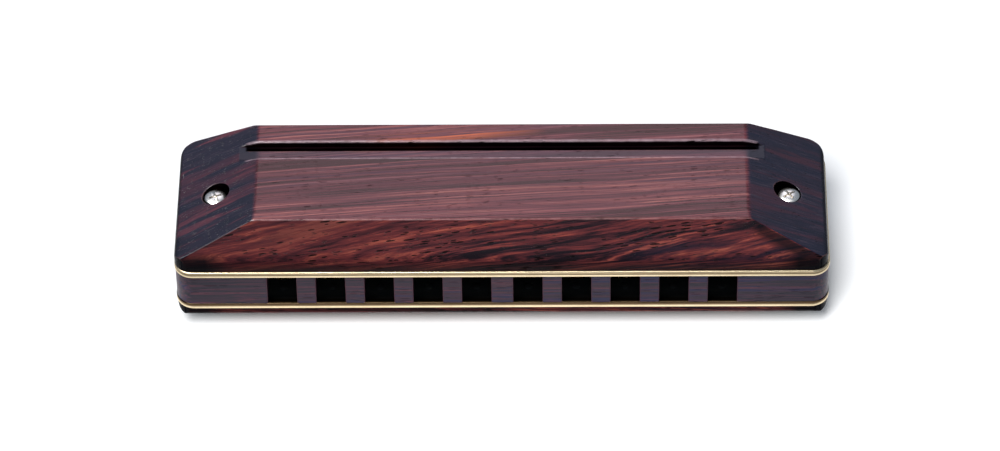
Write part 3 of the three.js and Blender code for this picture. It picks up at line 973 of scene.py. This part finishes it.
def linear(colour):
    """Linear RGBA from an sRGB 0..255 triple or a grey 0..1; RGBA passes through."""
    if isinstance(colour, (float, int)):
        return (colour, colour, colour, 1.0)
    if len(colour) == 4:
        return colour
    shares = [value / 255.0 for value in colour]
    return (*(v / 12.92 if v <= 0.04045 else ((v + 0.055) / 1.055) ** 2.4 for v in shares), 1.0)


# ------------------------------------------------------------------ woods
# turn: degrees of the grain off the long axis; seed: offset of the noises
# gloss: roughness range; pore: strength of the pores; spec: specular on walls and flats
# ramp, span: colours by tone, and the tone range either side of 0.5
# dive: fall of the grain along X; lean: forward lean of the growth rings
# fold: how far the rings turn back towards the comb
# cross: scale of the noise through the thickness; wander: sway of the rings, in mm
# ink, lite: strength of the dark and of the bright streaks
# flat, flat_sheen_add: factor and offset of the painted violet sheen on the flat; end, end_shade_mix:
# painted dark blue shade on the end facets; end_red: red bands in them
ROSEWOOD = dict(
    turn=5.5,
    seed=3.0,
    gloss=(0.2, 0.3),
    pore=1.0,
    ramp=[
        (0.0, (17, 10, 15)), (0.2, (38, 18, 22)), (0.45, (74, 32, 33)),
        (0.62, (92, 40, 37)), (0.8, (116, 54, 44)), (1.0, (146, 76, 54)),
    ],
    span=0.10,
    dive=0.03,
    lean=0.42,
    fold=0.6,
    cross=0.3,
    wander=3.6,
    ink=0.85,
    ink_at=(0.53, 0.60),
    ink_colour=(20, 17, 30),
    light=(150, 78, 62),
    lite=0.4,
    flat=(0.92, 1.32, 2.3),
    flat_sheen_add=(0.024, -0.0015, -0.0095),
    end=(86, 152, 244),
    end_shade_mix=0.95,
    end_red=(98, 42, 48),
    # colour of the painted highlight on the rounded edges
    edge_highlight=(140, 90, 80),
    spec=(0.05, 0.5),
)
PURPLEHEART = dict(
    turn=0.6,
    seed=9.0,
    gloss=(0.3, 0.5),
    pore=0.35,
    ramp=[
        (0.0, (36, 28, 62)), (0.3, (62, 38, 66)), (0.55, (88, 52, 76)),
        (0.8, (108, 64, 76)), (1.0, (142, 92, 90)),
    ],
    span=0.075,
    dive=0.0,
    lean=0.0,
    cross=1.0,
    wander=2.5,
    ink=0.95,
    ink_at=(0.495, 0.555),
    ink_colour=(22, 36, 100),
    light=(156, 104, 104),
    lite=0.45,
    spec=(0.3, 0.4),
    gain=(184, 134, 174),
)

# two sizes of pore: scale of the cells, lowest random value that has a pore, largest reach
PORES = [((0.40, 5.2, 3.2), 0.24, 0.42), ((0.62, 6.6, 4.2), 0.28, 0.40)]


class Wood:
    """Grain, pores and polish, shared by the covers and the comb."""

    def __init__(self, name, species):
        self.species = species
        self.tree = tree = Tree(name)
        self.place = tree.place()
        self.x, self.y, self.z = self.place.split()
        self.off_middle = abs(self.x)
        self.back = self.y - FRONT
        normal = tree.signal("ShaderNodeNewGeometry", output="Normal")
        unit = tree.signal("ShaderNodeVectorMath", {0: normal}, operation="NORMALIZE")
        normal_x, self.normal_y, self.normal_z = unit.split()
        self.endwise, self.level = abs(normal_x), abs(self.normal_z)
        # 1 on plain surfaces, less across an edge
        bevel = tree.signal("ShaderNodeBevel", {"Radius": 0.0003}, samples=4)
        self.plain = tree.signal(
            "ShaderNodeVectorMath", {0: bevel, 1: normal}, "Value", operation="DOT_PRODUCT"
        )
        self.lay_grain()
        self.lay_pores()

    def lay_grain(self):
        """Noise layers stretched along the grain, from the broadest to the finest."""
        species, tree, x, y, z = self.species, self.tree, self.x, self.y, self.z
        turn = math.radians(species["turn"])
        along = x * math.cos(turn) + y * math.sin(turn)
        across = y * math.cos(turn) - x * math.sin(turn)
        # growth rings lean forward, so the front facet is cut nearly along them
        across = across - z.max(Z_TOPC + 2.0) * species["lean"]
        if "fold" in species:
            # they turn back towards the comb, so the upright walls show long lines too
            half = (Z_COMB + Z_BLOW) / 2
            bend = abs(z - half) - (Z_TOPC + 2.0 - half)
            under = bend.max(0.0) * (z < Z_COMB)
            across = across + (bend.min(0.0) + under) * species["fold"]
        self.across = across
        through = z - x * species["dive"]
        self.base = tree.combine(along, across, through)
        seed, cross = species["seed"], species["cross"]
        slow = (self.base * (0.013, 0.035, 0.05) + (seed, 1.7, 3.1)).noise(2.0)
        quick = (self.base * (0.032, 0.12, 0.16) + (seed + 5, 2.3, 8.1)).noise(3.0, 0.55)
        wander = (slow - 0.5) * species["wander"] + (quick - 0.5) * 1.3
        grain = tree.combine(along, across + wander, through + wander * 0.45)

        def layer(scale, offset, *noise):
            offset += seed
            return (grain * scale + (offset, offset * 1.3, offset * 0.7)).noise(*noise)

        # scale along, across and through; offset; detail, roughness, distortion
        self.broad = layer((0.006, 0.14, cross * 0.11), 11.0, 3.0, 0.55)
        self.mid = layer((0.012, 0.55, cross * 0.42), 23.0, 4.0, 0.6, 0.15)
        self.streak = layer((0.016, 1.5, cross * 1.1), 31.0, 4.0, 0.64)
        self.line = layer((0.026, 3.4, cross * 2.6), 41.0, 3.0, 0.65)
        self.fine = layer((0.07, 7.0, 5.4), 47.0, 4.0, 0.7)
        self.hair = layer((0.16, 17.0, 14.0), 53.0, 2.0, 0.6)
        self.ink = (self.mid * 0.5 + self.streak * 0.5).ease(*species["ink_at"])

    def lay_pores(self):
        """Short dark dashes along the grain, largest on faces that are not level."""
        tilt = self.level.fade(0.92, 0.80, 0.62, 1.0)
        crowd = (self.base * (0.07, 0.5, 0.4)).noise(2.0).fade(0.36, 0.56, 0.45, 1.15)
        sizes = []
        for k, (scale, lowest, size) in enumerate(PORES):
            cells = self.tree.node(
                "ShaderNodeTexVoronoi",
                {
                    "Vector": self.base * scale + (k * 3.3, k * 5.1, k * 7.7),
                    "Scale": 1.0,
                    "Randomness": 1.0,
                },
                feature="F1",
            )
            chance = Signal(self.tree, cells.outputs["Color"]).split()[0]
            reach = chance.fade(lowest, 1.0, 0.0, size) * crowd
            ragged = (self.fine - 0.5) * 0.35
            distance = Signal(self.tree, cells.outputs["Distance"])
            sizes.append((reach * tilt - (distance + ragged)).ease(0.0, 0.05))
        self.pores = sizes[0].max(sizes[1] * 0.7) * self.species["pore"]

    def times(self, factor):
        return self.tree.mix(1.0, self.colour, factor, "MULTIPLY")

    def paint(self, mask, colour):
        self.colour = self.tree.mix(mask, self.colour, colour)

    def colour_grain(self, ink):
        """Colours the grain: tone, then dark streaks, bright early-wood lines and hairs."""
        species, span = self.species, self.species["span"]
        tone = self.broad * 0.26 + (self.mid * 0.34 + self.streak * 0.40)
        tone = tone + (self.line - 0.5) * 0.42
        tone = tone + (self.fine - 0.5) * 0.18
        self.colour = self.tree.ramp(tone.fade(0.5 - span, 0.5 + span), species["ramp"])
        self.paint(ink * species["ink"], species["ink_colour"])
        bright = (self.line * 0.55 + self.streak * 0.45).ease(0.54, 0.64)
        self.paint(bright * species["lite"], species["light"])
        self.paint(self.hair.fade(0.3, 0.7, 0.3, 0.0), (16, 6, 8))

    def finish(self, dulled, calm=None):
        """`dulled` lists masks that lower the specular and by how much; `calm` is a mask
        that flattens the relief."""
        wall_spec, flat_spec = self.species["spec"]
        level, pores = self.level, self.pores
        rough = (self.line * 0.6 + self.mid * 0.4).fade(0.3, 0.7, *self.species["gloss"])
        rough = rough + pores * 0.3
        rough = rough + self.plain.fade(0.998, 0.95, 0.0, 0.16)
        # the polish is full on the flats, thin on upright faces, nearly none underneath
        spec = level.fade(0.1, 0.7, wall_spec, wall_spec * 0.4 + flat_spec * 0.6)
        spec = spec + level.fade(0.76, 0.93, 0.0, (flat_spec - wall_spec) * 0.4)
        spec = spec * self.normal_z.fade(-0.03, -0.12, 1.0, 0.06)
        for mask, amount in dulled:
            spec = spec * (1.0 - mask * amount)
        spec = spec * pores.fade(0.0, 1.0, 1.0, 0.2)
        height = self.fine * 0.35 + self.hair * 0.35
        if calm:
            height = height * (1.0 - calm * 0.6)
        height = height - pores * 1.2
        height = height + (self.place * (0.09, 0.14, 0.14)).noise(2.0) * 0.8
        return self.tree.finish(
            {
                "Base Color": self.colour,
                "Roughness": rough,
                "Specular IOR Level": spec,
                "Normal": self.tree.bump(height, strength=0.55, distance=0.00003),
            }
        )


def cover_wood():
    """Oiled rosewood. Each mask below marks a zone of the covers; fades run over
    millimetres, or over the steepness of the face for `level` and `endwise`."""
    wood = Wood("cover_rosewood", ROSEWOOD)
    tree, paint, species = wood.tree, wood.paint, wood.species
    x, z, back, out = wood.x, wood.z, wood.back, wood.off_middle
    level, endwise, mid, streak = wood.level, wood.endwise, wood.mid, wood.streak

    # the left of the front facet has fewer dark streaks, the foot on the right a black vein
    on_front = back.fade(RIDGE_Y + 0.2, RIDGE_Y - 0.2)
    ink = wood.ink * (1.0 - on_front * x.fade(-6.0, -16.0) * 0.4)
    vein = on_front * back.fade(3.0, 1.8) * x.fade(16.0, 24.0) * mid.fade(0.62, 0.50)
    wood.colour_grain(ink.max(vein * 0.8))

    # painted sheen: a cool violet cast, lighter in green and blue, on the flat
    flat = out.fade(RIDGE_X + 0.35, RIDGE_X - 0.25) * back.fade(RIDGE_Y - 0.15, RIDGE_Y + 0.15)
    sheen_tinted = wood.colour * species["flat"] + species["flat_sheen_add"]
    paint(flat, sheen_tinted.max((0.002, 0.002, 0.002)))

    # red heartwood on the left of the front facet, which brightens from left to right
    left_front = on_front * x.fade(-6.0, -16.0)
    paint(left_front * 0.15, (100, 42, 40))
    rgb_ranges = ((0.77, 1.24), (0.66, 1.12), (0.79, 1.20))
    brighter = tree.combine(*(x.fade(-32.0, -2.0, low, high) for low, high in rgb_ranges))
    paint(on_front, wood.times(brighter))
    shade = x.fade(-35.0, 40.0, 0.90, 0.96)
    wood.colour = wood.times(tree.combine(shade, shade, shade))

    # painted shade and a painted blue reflection: the end facets are turned a near-black blue
    end_drop = (out - RIDGE_X) * END_SLOPE
    front_drop = (RIDGE_Y - back).max(0.0) * FRONT_SLOPE
    hip = end_drop - front_drop
    side = hip.ease(-0.05, 0.06).max(back.fade(RIDGE_Y + 0.1, RIDGE_Y + 0.8))
    side = side * out.ease(RIDGE_X - 0.45, RIDGE_X + 0.35)
    side = side * level.fade(0.4, 0.7)
    end_wall = endwise.fade(0.2, 0.45) * level.fade(0.75, 0.55)
    paint(side.max(end_wall) * species["end_shade_mix"], wood.times(species["end"]))
    # red bands in them, strongest on the left
    band = (wood.broad * 0.6 + mid * 0.4).ease(0.50, 0.42)
    paint(side * band * x.fade(-1.0, 1.0, 0.32, 0.06), species["end_red"])
    red = side * (mid * 0.7 + streak * 0.3).ease(0.49, 0.39)
    paint(red * x.fade(-1.0, 1.0, 0.85, 0.28), species["end_red"])

    # painted shade along the foot, above the plate
    foot = z.fade(Z_TOPC + 1.9, Z_TOPC + 0.2) * z.fade(Z_TOPC - 1.0, Z_TOPC - 0.5)
    paint(foot * 0.68, (14, 5, 7))

    # painted shade on the end walls, the front corners and, on the right, the front facet beside the
    # hip
    corner_top = out.fade(42.2, 45.6) * back.fade(7.0, 5.0) * level.fade(0.96, 0.92)
    corner_top = corner_top * z.fade(Z_TOPC + 3.3, Z_TOPC + 2.2)
    corner = (endwise.fade(0.25, 0.6) * level.fade(0.8, 0.5)).max(corner_top)
    dusk = hip.fade(-1.9, -1.0) * x.fade(RIDGE_X - 0.5, RIDGE_X + 1.5) * level.fade(0.9, 0.8)
    corner = corner.max(dusk * 0.88)
    paint(corner * 0.92, (8, 9, 13))

    # one amber streak runs along the back, left of the middle
    streak_line = 10.9 - species["lean"] * Z_TOP
    amber = abs(wood.across - streak_line).fade(1.5, 0.2) * abs(x + 9.0).fade(16.0, 4.0)
    paint(amber * streak.fade(0.56, 0.44) * 0.75, (176, 84, 44))
    # more painted shade, dark blue, on the end facets
    paint(side * 0.45, (28, 32, 45))
    field = flat * back.fade(6.0, 9.0) * back.fade(20.0, 18.0)
    paint(field * 0.17, (12, 6, 14))

    # painted shade: the upright faces of the groove, the slot and the screw holes are painted black
    slot = back.fade(SLOT_FRONT - 0.02, SLOT_FRONT + 0.04) * z.fade(Z_TOP - 0.45, Z_TOP - 0.6)
    upright = level.fade(0.85, 0.6).max(slot * out.fade(SLOT_X + 0.5, SLOT_X + 0.2))
    sunk = ((Z_TOP - z) > 0.16) * (z > 0.16)
    groove = back.fade(GROOVE_FRONT - 0.3, GROOVE_FRONT)
    groove = groove * back.fade(GROOVE_BACK + 0.35, GROOVE_BACK + 0.2) * out.fade(41.0, 40.8)
    from_bore = ((out - BORE_X) ** 2.0 + (back - SCREW_Y) ** 2.0).sqrt()
    bore = from_bore < BORE_R + 0.09
    recess_shade = upright * groove.max(bore)
    seat = Z_TOPC + HEAD_SEAT
    recess_shade = recess_shade.max(bore * z.fade(seat + 1.2, seat + 0.6))
    groove_floor = groove * sunk * level.fade(0.8, 0.95) * z.fade(Z_TOP - 0.35, Z_TOP - 0.6)
    paint(groove_floor * 0.35, (58, 46, 62))
    # painted shade, dark blue, where the groove runs out towards the end facets
    groove_end = groove * level.fade(0.8, 0.95) * out.fade(RIDGE_X - 0.8, RIDGE_X + 0.3)
    paint(groove_end * 0.85, (20, 22, 33))
    paint(recess_shade * 0.96, (2, 1, 2))

    # painted highlights on the arrises beside the groove and along the front ridge, broken up in
    # patches
    highlight_breakup = (wood.place * (0.8, 1.0, 1.0)).noise(3.0)
    front_lip = back.fade(18.12, 18.28) * back.fade(18.62, 18.5)
    back_lip = back.fade(21.86, 21.92) * back.fade(22.42, 22.25)
    lip = front_lip.max(back_lip) * z.fade(Z_TOP - 0.7, Z_TOP - 0.5) * out.fade(41.2, 40.6)
    paint(lip * highlight_breakup.fade(0.35, 0.65, 0.5, 1.0) * 0.55, (150, 128, 136))
    ridge_highlight = back.fade(RIDGE_Y - 0.22, RIDGE_Y - 0.05) * back.fade(RIDGE_Y + 0.3, RIDGE_Y + 0.1)
    ridge_highlight = ridge_highlight * out.fade(RIDGE_X + 0.3, RIDGE_X - 0.2) * highlight_breakup.fade(0.35, 0.6, 0.35, 1.0)
    paint(ridge_highlight * 0.3, (160, 112, 112))

    paint(wood.pores * 0.95, (6, 3, 4))
    # painted highlight on the rounded edges, in patches, away from the painted black
    patchy = (wood.place * (0.5, 0.9, 0.9)).noise(3.0).fade(0.38, 0.62)
    edge_highlight = wood.plain.fade(0.995, 0.93) * patchy * (1.0 - recess_shade.max(bore))
    paint(edge_highlight * 0.3, species["edge_highlight"])

    crease = abs(hip).fade(0.16, 0.05) * out.fade(RIDGE_X - 0.1, RIDGE_X + 0.4)
    crease = crease * back.fade(RIDGE_Y + 0.2, RIDGE_Y - 0.1)
    arris = abs(back - RIDGE_Y).fade(0.35, 0.15) * out.fade(RIDGE_X + 0.2, RIDGE_X - 0.3)
    dulled = [
        (crease, 0.85), (arris, 0.6), (corner, 0.5), (groove_end, 0.58), (flat, 0.12),
        (recess_shade, 0.97),
    ]
    return wood.finish(dulled, calm=side)


def comb_wood():
    """Purpleheart; inside the chambers it is unpolished, and shade is painted in as a dark grey."""
    wood = Wood("comb_wood", PURPLEHEART)
    x, y, out = wood.x, wood.y, wood.off_middle
    wood.colour_grain(wood.ink)
    mouth = FRONT + 0.3
    wall, rear = abs(wood.normal_y).fade(0.4, 0.2), y.fade(mouth + 3.0, mouth + 4.0)
    inner = y.fade(mouth, mouth + 0.4) * wall.max(rear) * out.fade(38.0, 37.5)
    inner = inner * wood.back.fade(21.5, 21.2)
    # painted shade inside the chambers
    wood.paint(inner * 0.95, (62, 62, 58))
    # painted highlight along the arrises at the chamber mouths
    arris = y.fade(mouth + 0.25, mouth) * wood.endwise.fade(0.12, 0.4) * out.fade(38.4, 38.0)
    wood.paint(arris * 0.6, (120, 92, 84))
    # less red and green towards the right
    red, green = x.fade(-15.0, 44.0, 1.0, 0.80), x.fade(-15.0, 44.0, 1.0, 0.88)
    wood.colour = wood.times(wood.tree.combine(red, green, 1.0))
    wood.paint(wood.pores * 0.95, (6, 3, 4))
    wood.colour = wood.times(wood.species["gain"])
    return wood.finish([(inner, 0.97)])


# ------------------------------------------------------------------ metals
def metal(name, colour, dark, rough, brush, brush_amount, stain, seed,
          chamber_shade=False, sheared=False):
    """Brushed metal. `brush` scales the scratches in x, y, z; `stain` is the strength of the
    dark clouds; `rough` is the roughness range."""
    tree = Tree(name)
    place = tree.place()
    _, y, z = place.split()
    scratches = (place * brush + (seed, seed, seed)).noise(4.0, 0.7)
    cloud = (place * (0.18, 0.25, 0.4) + (seed, 4, 2)).noise(4.0, 0.6)
    speck = (place * (2.2, 2.2, 2.2)).noise(3.0, 0.7)
    tone = cloud * 0.6 + speck * 0.4
    shade = tree.mix(tone.fade(0.42, 0.70) * stain, colour, dark)
    shade = tree.mix(scratches.fade(0.35, 0.65) * (0.12 * brush_amount), shade, dark)
    roughness = (scratches * 0.6 + tone * 0.4).fade(0.35, 0.65, *rough)
    if sheared:
        # the torn band of a sheared edge is matt; its brown is painted shade for the dim reflection it
        # shows
        normal = tree.signal("ShaderNodeNewGeometry", output="Normal")
        level = abs(normal.split()[2])
        for z0 in (Z_BLOW, Z_DRAW):
            torn = z.fade(z0 + 0.80, z0 + 0.72) * z.fade(z0 + 0.45, z0 + 0.52)
            torn = torn * level.fade(0.7, 0.5)
            shade = tree.mix(torn * 0.8, shade, (126, 98, 62))
            roughness = roughness + torn * 0.2
        # painted shade: the upper half of the draw plate, under the comb, is darker
        upper = z.fade(Z_DRAW + 0.50, Z_DRAW + 0.68) * z.fade(Z_DRAW + 1.02, Z_DRAW + 1.0)
        shade = tree.mix(upper * 0.92, shade, (84, 60, 36))
    if chamber_shade:
        # painted shade inside the chambers: near black just behind the mouth, grey further in
        between = z.fade(Z_COMB - 0.2, Z_COMB - 0.1) * z.fade(Z_BLOW + 0.06, Z_BLOW + 0.03)
        deep = between * y.fade(FRONT + 0.28, FRONT + 0.42)
        deep = deep * y.fade(FRONT + 6.5, FRONT + 13.0, 1.0, 0.3)
        chamber_shade_colour = tree.mix(y.fade(FRONT + 0.9, FRONT + 2.6), (16, 11, 8), (84, 86, 84))
        shade = tree.mix(deep, shade, chamber_shade_colour)
        roughness = roughness + deep * 0.4
    return tree.finish(
        {
            "Base Color": shade,
            "Metallic": 1.0,
            "Roughness": roughness,
            "Normal": tree.bump(scratches, strength=0.5 * brush_amount, distance=0.000004),
        }
    )


cover_mat = cover_wood()
comb_mat = comb_wood()
brass_mat = metal(
    "plate_brass", colour=(243, 223, 184), dark=(176, 146, 104), rough=(0.26, 0.44),
    brush=(0.8, 9.0, 9.0), brush_amount=0.8, stain=0.35, seed=1.0, chamber_shade=True, sheared=True,
)
reed_mat = metal(
    "reed_brass", colour=(240, 208, 140), dark=(190, 148, 84), rough=(0.2, 0.36),
    brush=(9.0, 0.7, 6.0), brush_amount=1.0, stain=0.25, seed=4.0, chamber_shade=True,
)
rivet_mat = metal(
    "rivet_brass", colour=(222, 182, 112), dark=(150, 108, 58), rough=(0.22, 0.4),
    brush=(3.0, 3.0, 3.0), brush_amount=0.6, stain=0.4, seed=7.0, chamber_shade=True,
)
nickel_mat = metal(
    "nickel_plate", colour=(246, 242, 236), dark=(170, 160, 146), rough=(0.2, 0.36),
    brush=(2.5, 2.5, 2.5), brush_amount=0.5, stain=0.25, seed=2.0,
)
steel_mat = metal(
    "zinc_steel", colour=(190, 190, 190), dark=(120, 120, 122), rough=(0.25, 0.42),
    brush=(4.0, 4.0, 4.0), brush_amount=0.8, stain=0.4, seed=5.0,
)

# ------------------------------------------------------------------ the pieces
upper_cover = build_cover(TOP_H, TOP_FOOT_R, nuts=False)
upper_cover.verts = [(x + UPPER_COVER_SHIFT, y, z + Z_TOPC) for x, y, z in upper_cover.verts]
finish_mesh("upper_cover", upper_cover, cover_mat, "top_cover")
lower_cover = build_cover(BOTTOM_H, BOTTOM_FOOT_R, nuts=True)
finish_mesh("lower_cover", lower_cover, cover_mat, "bottom_cover", flip=BOTTOM_H)
finish_mesh("comb_body", build_comb(), comb_mat, "comb", angle=40)
for kind, plate_z in (("blow", Z_BLOW), ("draw", Z_DRAW)):
    plate = build_plate(plate_z)
    finish_mesh(f"{kind}_plate", plate, brass_mat, f"{kind}_reed_plate", angle=50)
for kind, plate_z in (("blow", Z_BLOW), ("draw", Z_DRAW)):
    for hole in HOLES:
        node = f"{kind}_reed_{hole.number}"
        reed = build_reed(hole, plate_z)
        finish_mesh(f"{node}_tongue", reed, reed_mat, node, body=node)
        node = f"{kind}_rivet_{hole.number}"
        rivet = build_rivet(hole, plate_z)
        finish_mesh(f"{node}_pin", rivet, rivet_mat, node, angle=40)

for side, sign, turn in (("left", -1, 0.35), ("right", 1, 0.6)):
    cx, cy, seat = sign * SCREW_X, from_front(SCREW_Y), Z_TOPC + HEAD_SEAT
    nut_top = Z_DRAW - NUT_SEAT
    nut_bottom = nut_top - NUT_H
    finish_mesh(
        f"cover_screw_{side}_body",
        build_screw(
            cx, cy, seat, end=nut_bottom, shank_r=1.0, head_r=1.76, side_h=1.0, dome_h=0.48
        ),
        nickel_mat,
        f"cover_screw_{side}",
        cut=dict(cx=cx, cy=cy, top=seat + 1.44, reach=1.05, width=0.36, depth=0.85, turn=turn),
    )
    nut = build_nut(cx, cy, nut_bottom, nut_top)
    node = f"cover_nut_{side}"
    finish_mesh(f"{node}_body", nut, nickel_mat, node, angle=25)

for k, (cx, depth) in enumerate(PLATE_SCREWS):
    cy = from_front(depth)
    finish_mesh(
        f"plate_screw_{k + 1}_body",
        build_screw(
            cx, cy, Z_TOPC, end=Z_DRAW, shank_r=0.8, head_r=1.5, side_h=0.45, dome_h=0.45,
            count=32,
        ),
        steel_mat,
        f"plate_screw_{k + 1}",
        cut=dict(
            cx=cx, cy=cy, top=Z_TOPC + 0.84, reach=0.85, width=0.3, depth=0.5,
            turn=0.3 + 0.7 * k,
        ),
    )


# ------------------------------------------------------------------ floor, in metres
def floor_material():
    """Reflections see a lit patch of floor round the object and a dark studio beyond it."""
    tree = Tree("pale_floor")
    rays = tree.node("ShaderNodeLightPath")
    camera_ray = Signal(tree, rays.outputs["Is Camera Ray"])
    glossy_ray = Signal(tree, rays.outputs["Is Glossy Ray"])
    x, y, _ = (tree.place() * (0.55, 1.0, 1.0)).split()
    far = (x * x + y * y).sqrt().ease(24.0, 60.0)
    base = tree.mix(glossy_ray, 0.9, tree.mix(far, 0.9, 0.08))
    # a little glow of its own, seen by the camera and by reflections
    glow = tree.mix(camera_ray, (0.0, 0.0, 0.0, 1.0), (0.115, 0.112, 0.10, 1.0))
    glow = tree.mix(glossy_ray, glow, tree.mix(far, 0.45, 0.0))
    return tree.finish(
        {
            "Base Color": base,
            "Roughness": 0.8,
            "Specular IOR Level": 0.0,
            "Emission Color": glow,
            "Emission Strength": 1.0,
        }
    )


def build_floor(half, z):
    material = floor_material()
    mesh = bpy.data.meshes.new("floor")
    corners = [(-half, -half, z), (half, -half, z), (half, half, z), (-half, half, z)]
    mesh.from_pydata(corners, [], [(0, 1, 2, 3)])
    floor = bpy.data.objects.new("floor", mesh)
    bpy.context.scene.collection.objects.link(floor)
    mesh.materials.append(material)
    return floor


floor = build_floor(half=3.0, z=-0.00002)

# ------------------------------------------------------------------ light
scene = bpy.context.scene
world = bpy.data.worlds.new("studio")
world.use_nodes = True
background = world.node_tree.nodes["Background"]
background.inputs["Color"].default_value = (0.7, 0.82, 1.0, 1)
background.inputs["Strength"].default_value = 0.3
scene.world = world


def area_light(name, place, width, height, power, colour=(1, 1, 1)):
    """A rectangular light aimed at the origin."""
    data = bpy.data.lights.new(name, "AREA")
    data.shape = "RECTANGLE"
    data.size, data.size_y = width, height
    data.energy = power
    data.color = colour
    light = bpy.data.objects.new(name, data)
    light.location = place
    light.rotation_euler = (-Vector(place)).to_track_quat("-Z", "Y").to_euler()
    scene.collection.objects.link(light)
    return light


key = area_light("key_overhead", (-0.42, -0.06, 1.36), width=0.6, height=0.6, power=33)
sweep = area_light("sweep_light", (-0.19, -0.72, 1.11), width=0.42, height=0.5, power=20.5)
area_light(
    "rear_softbox", (0.0, 1.0, 1.0), width=0.55, height=0.5, power=1.3, colour=(1.0, 0.95, 1.05)
)
# the floor has its own light, and the overhead light leaves it out
for light, state in ((key, "EXCLUDE"), (sweep, "INCLUDE")):
    receivers = bpy.data.collections.new(light.name + "_reach")
    receivers.objects.link(floor)
    light.light_linking.receiver_collection = receivers
    receivers.collection_objects[0].light_linking.link_state = state

# ------------------------------------------------------------------ camera
CAMERA_PLACE = Vector((0.0110934, -0.5747427, 0.5991226))
PITCH, YAW, ROLL = 0.797266, -0.0012669, -0.0046964  # radians; pitch looks down

lens = bpy.data.cameras.new("camera")
lens.sensor_width = 36.0
lens.sensor_fit = "HORIZONTAL"
lens.lens = 190.1628
lens.shift_x = -0.069352
lens.clip_start, lens.clip_end = 0.05, 20.0
camera = bpy.data.objects.new("camera", lens)
forward = Vector(
    (math.sin(YAW) * math.cos(PITCH), math.cos(YAW) * math.cos(PITCH), -math.sin(PITCH))
)
level_right = Vector((math.cos(YAW), -math.sin(YAW), 0))
level_up = level_right.cross(forward)
right = math.cos(ROLL) * level_right + math.sin(ROLL) * level_up
up = -math.sin(ROLL) * level_right + math.cos(ROLL) * level_up
camera.matrix_world = Matrix(
    [(*row, offset) for *row, offset in zip(right, up, -forward, CAMERA_PLACE)] + [(0, 0, 0, 1)]
)
scene.collection.objects.link(camera)
scene.camera = camera
scene.view_settings.view_transform = "Standard"
scene.view_settings.look = "None"

bpy.context.view_layer.update()
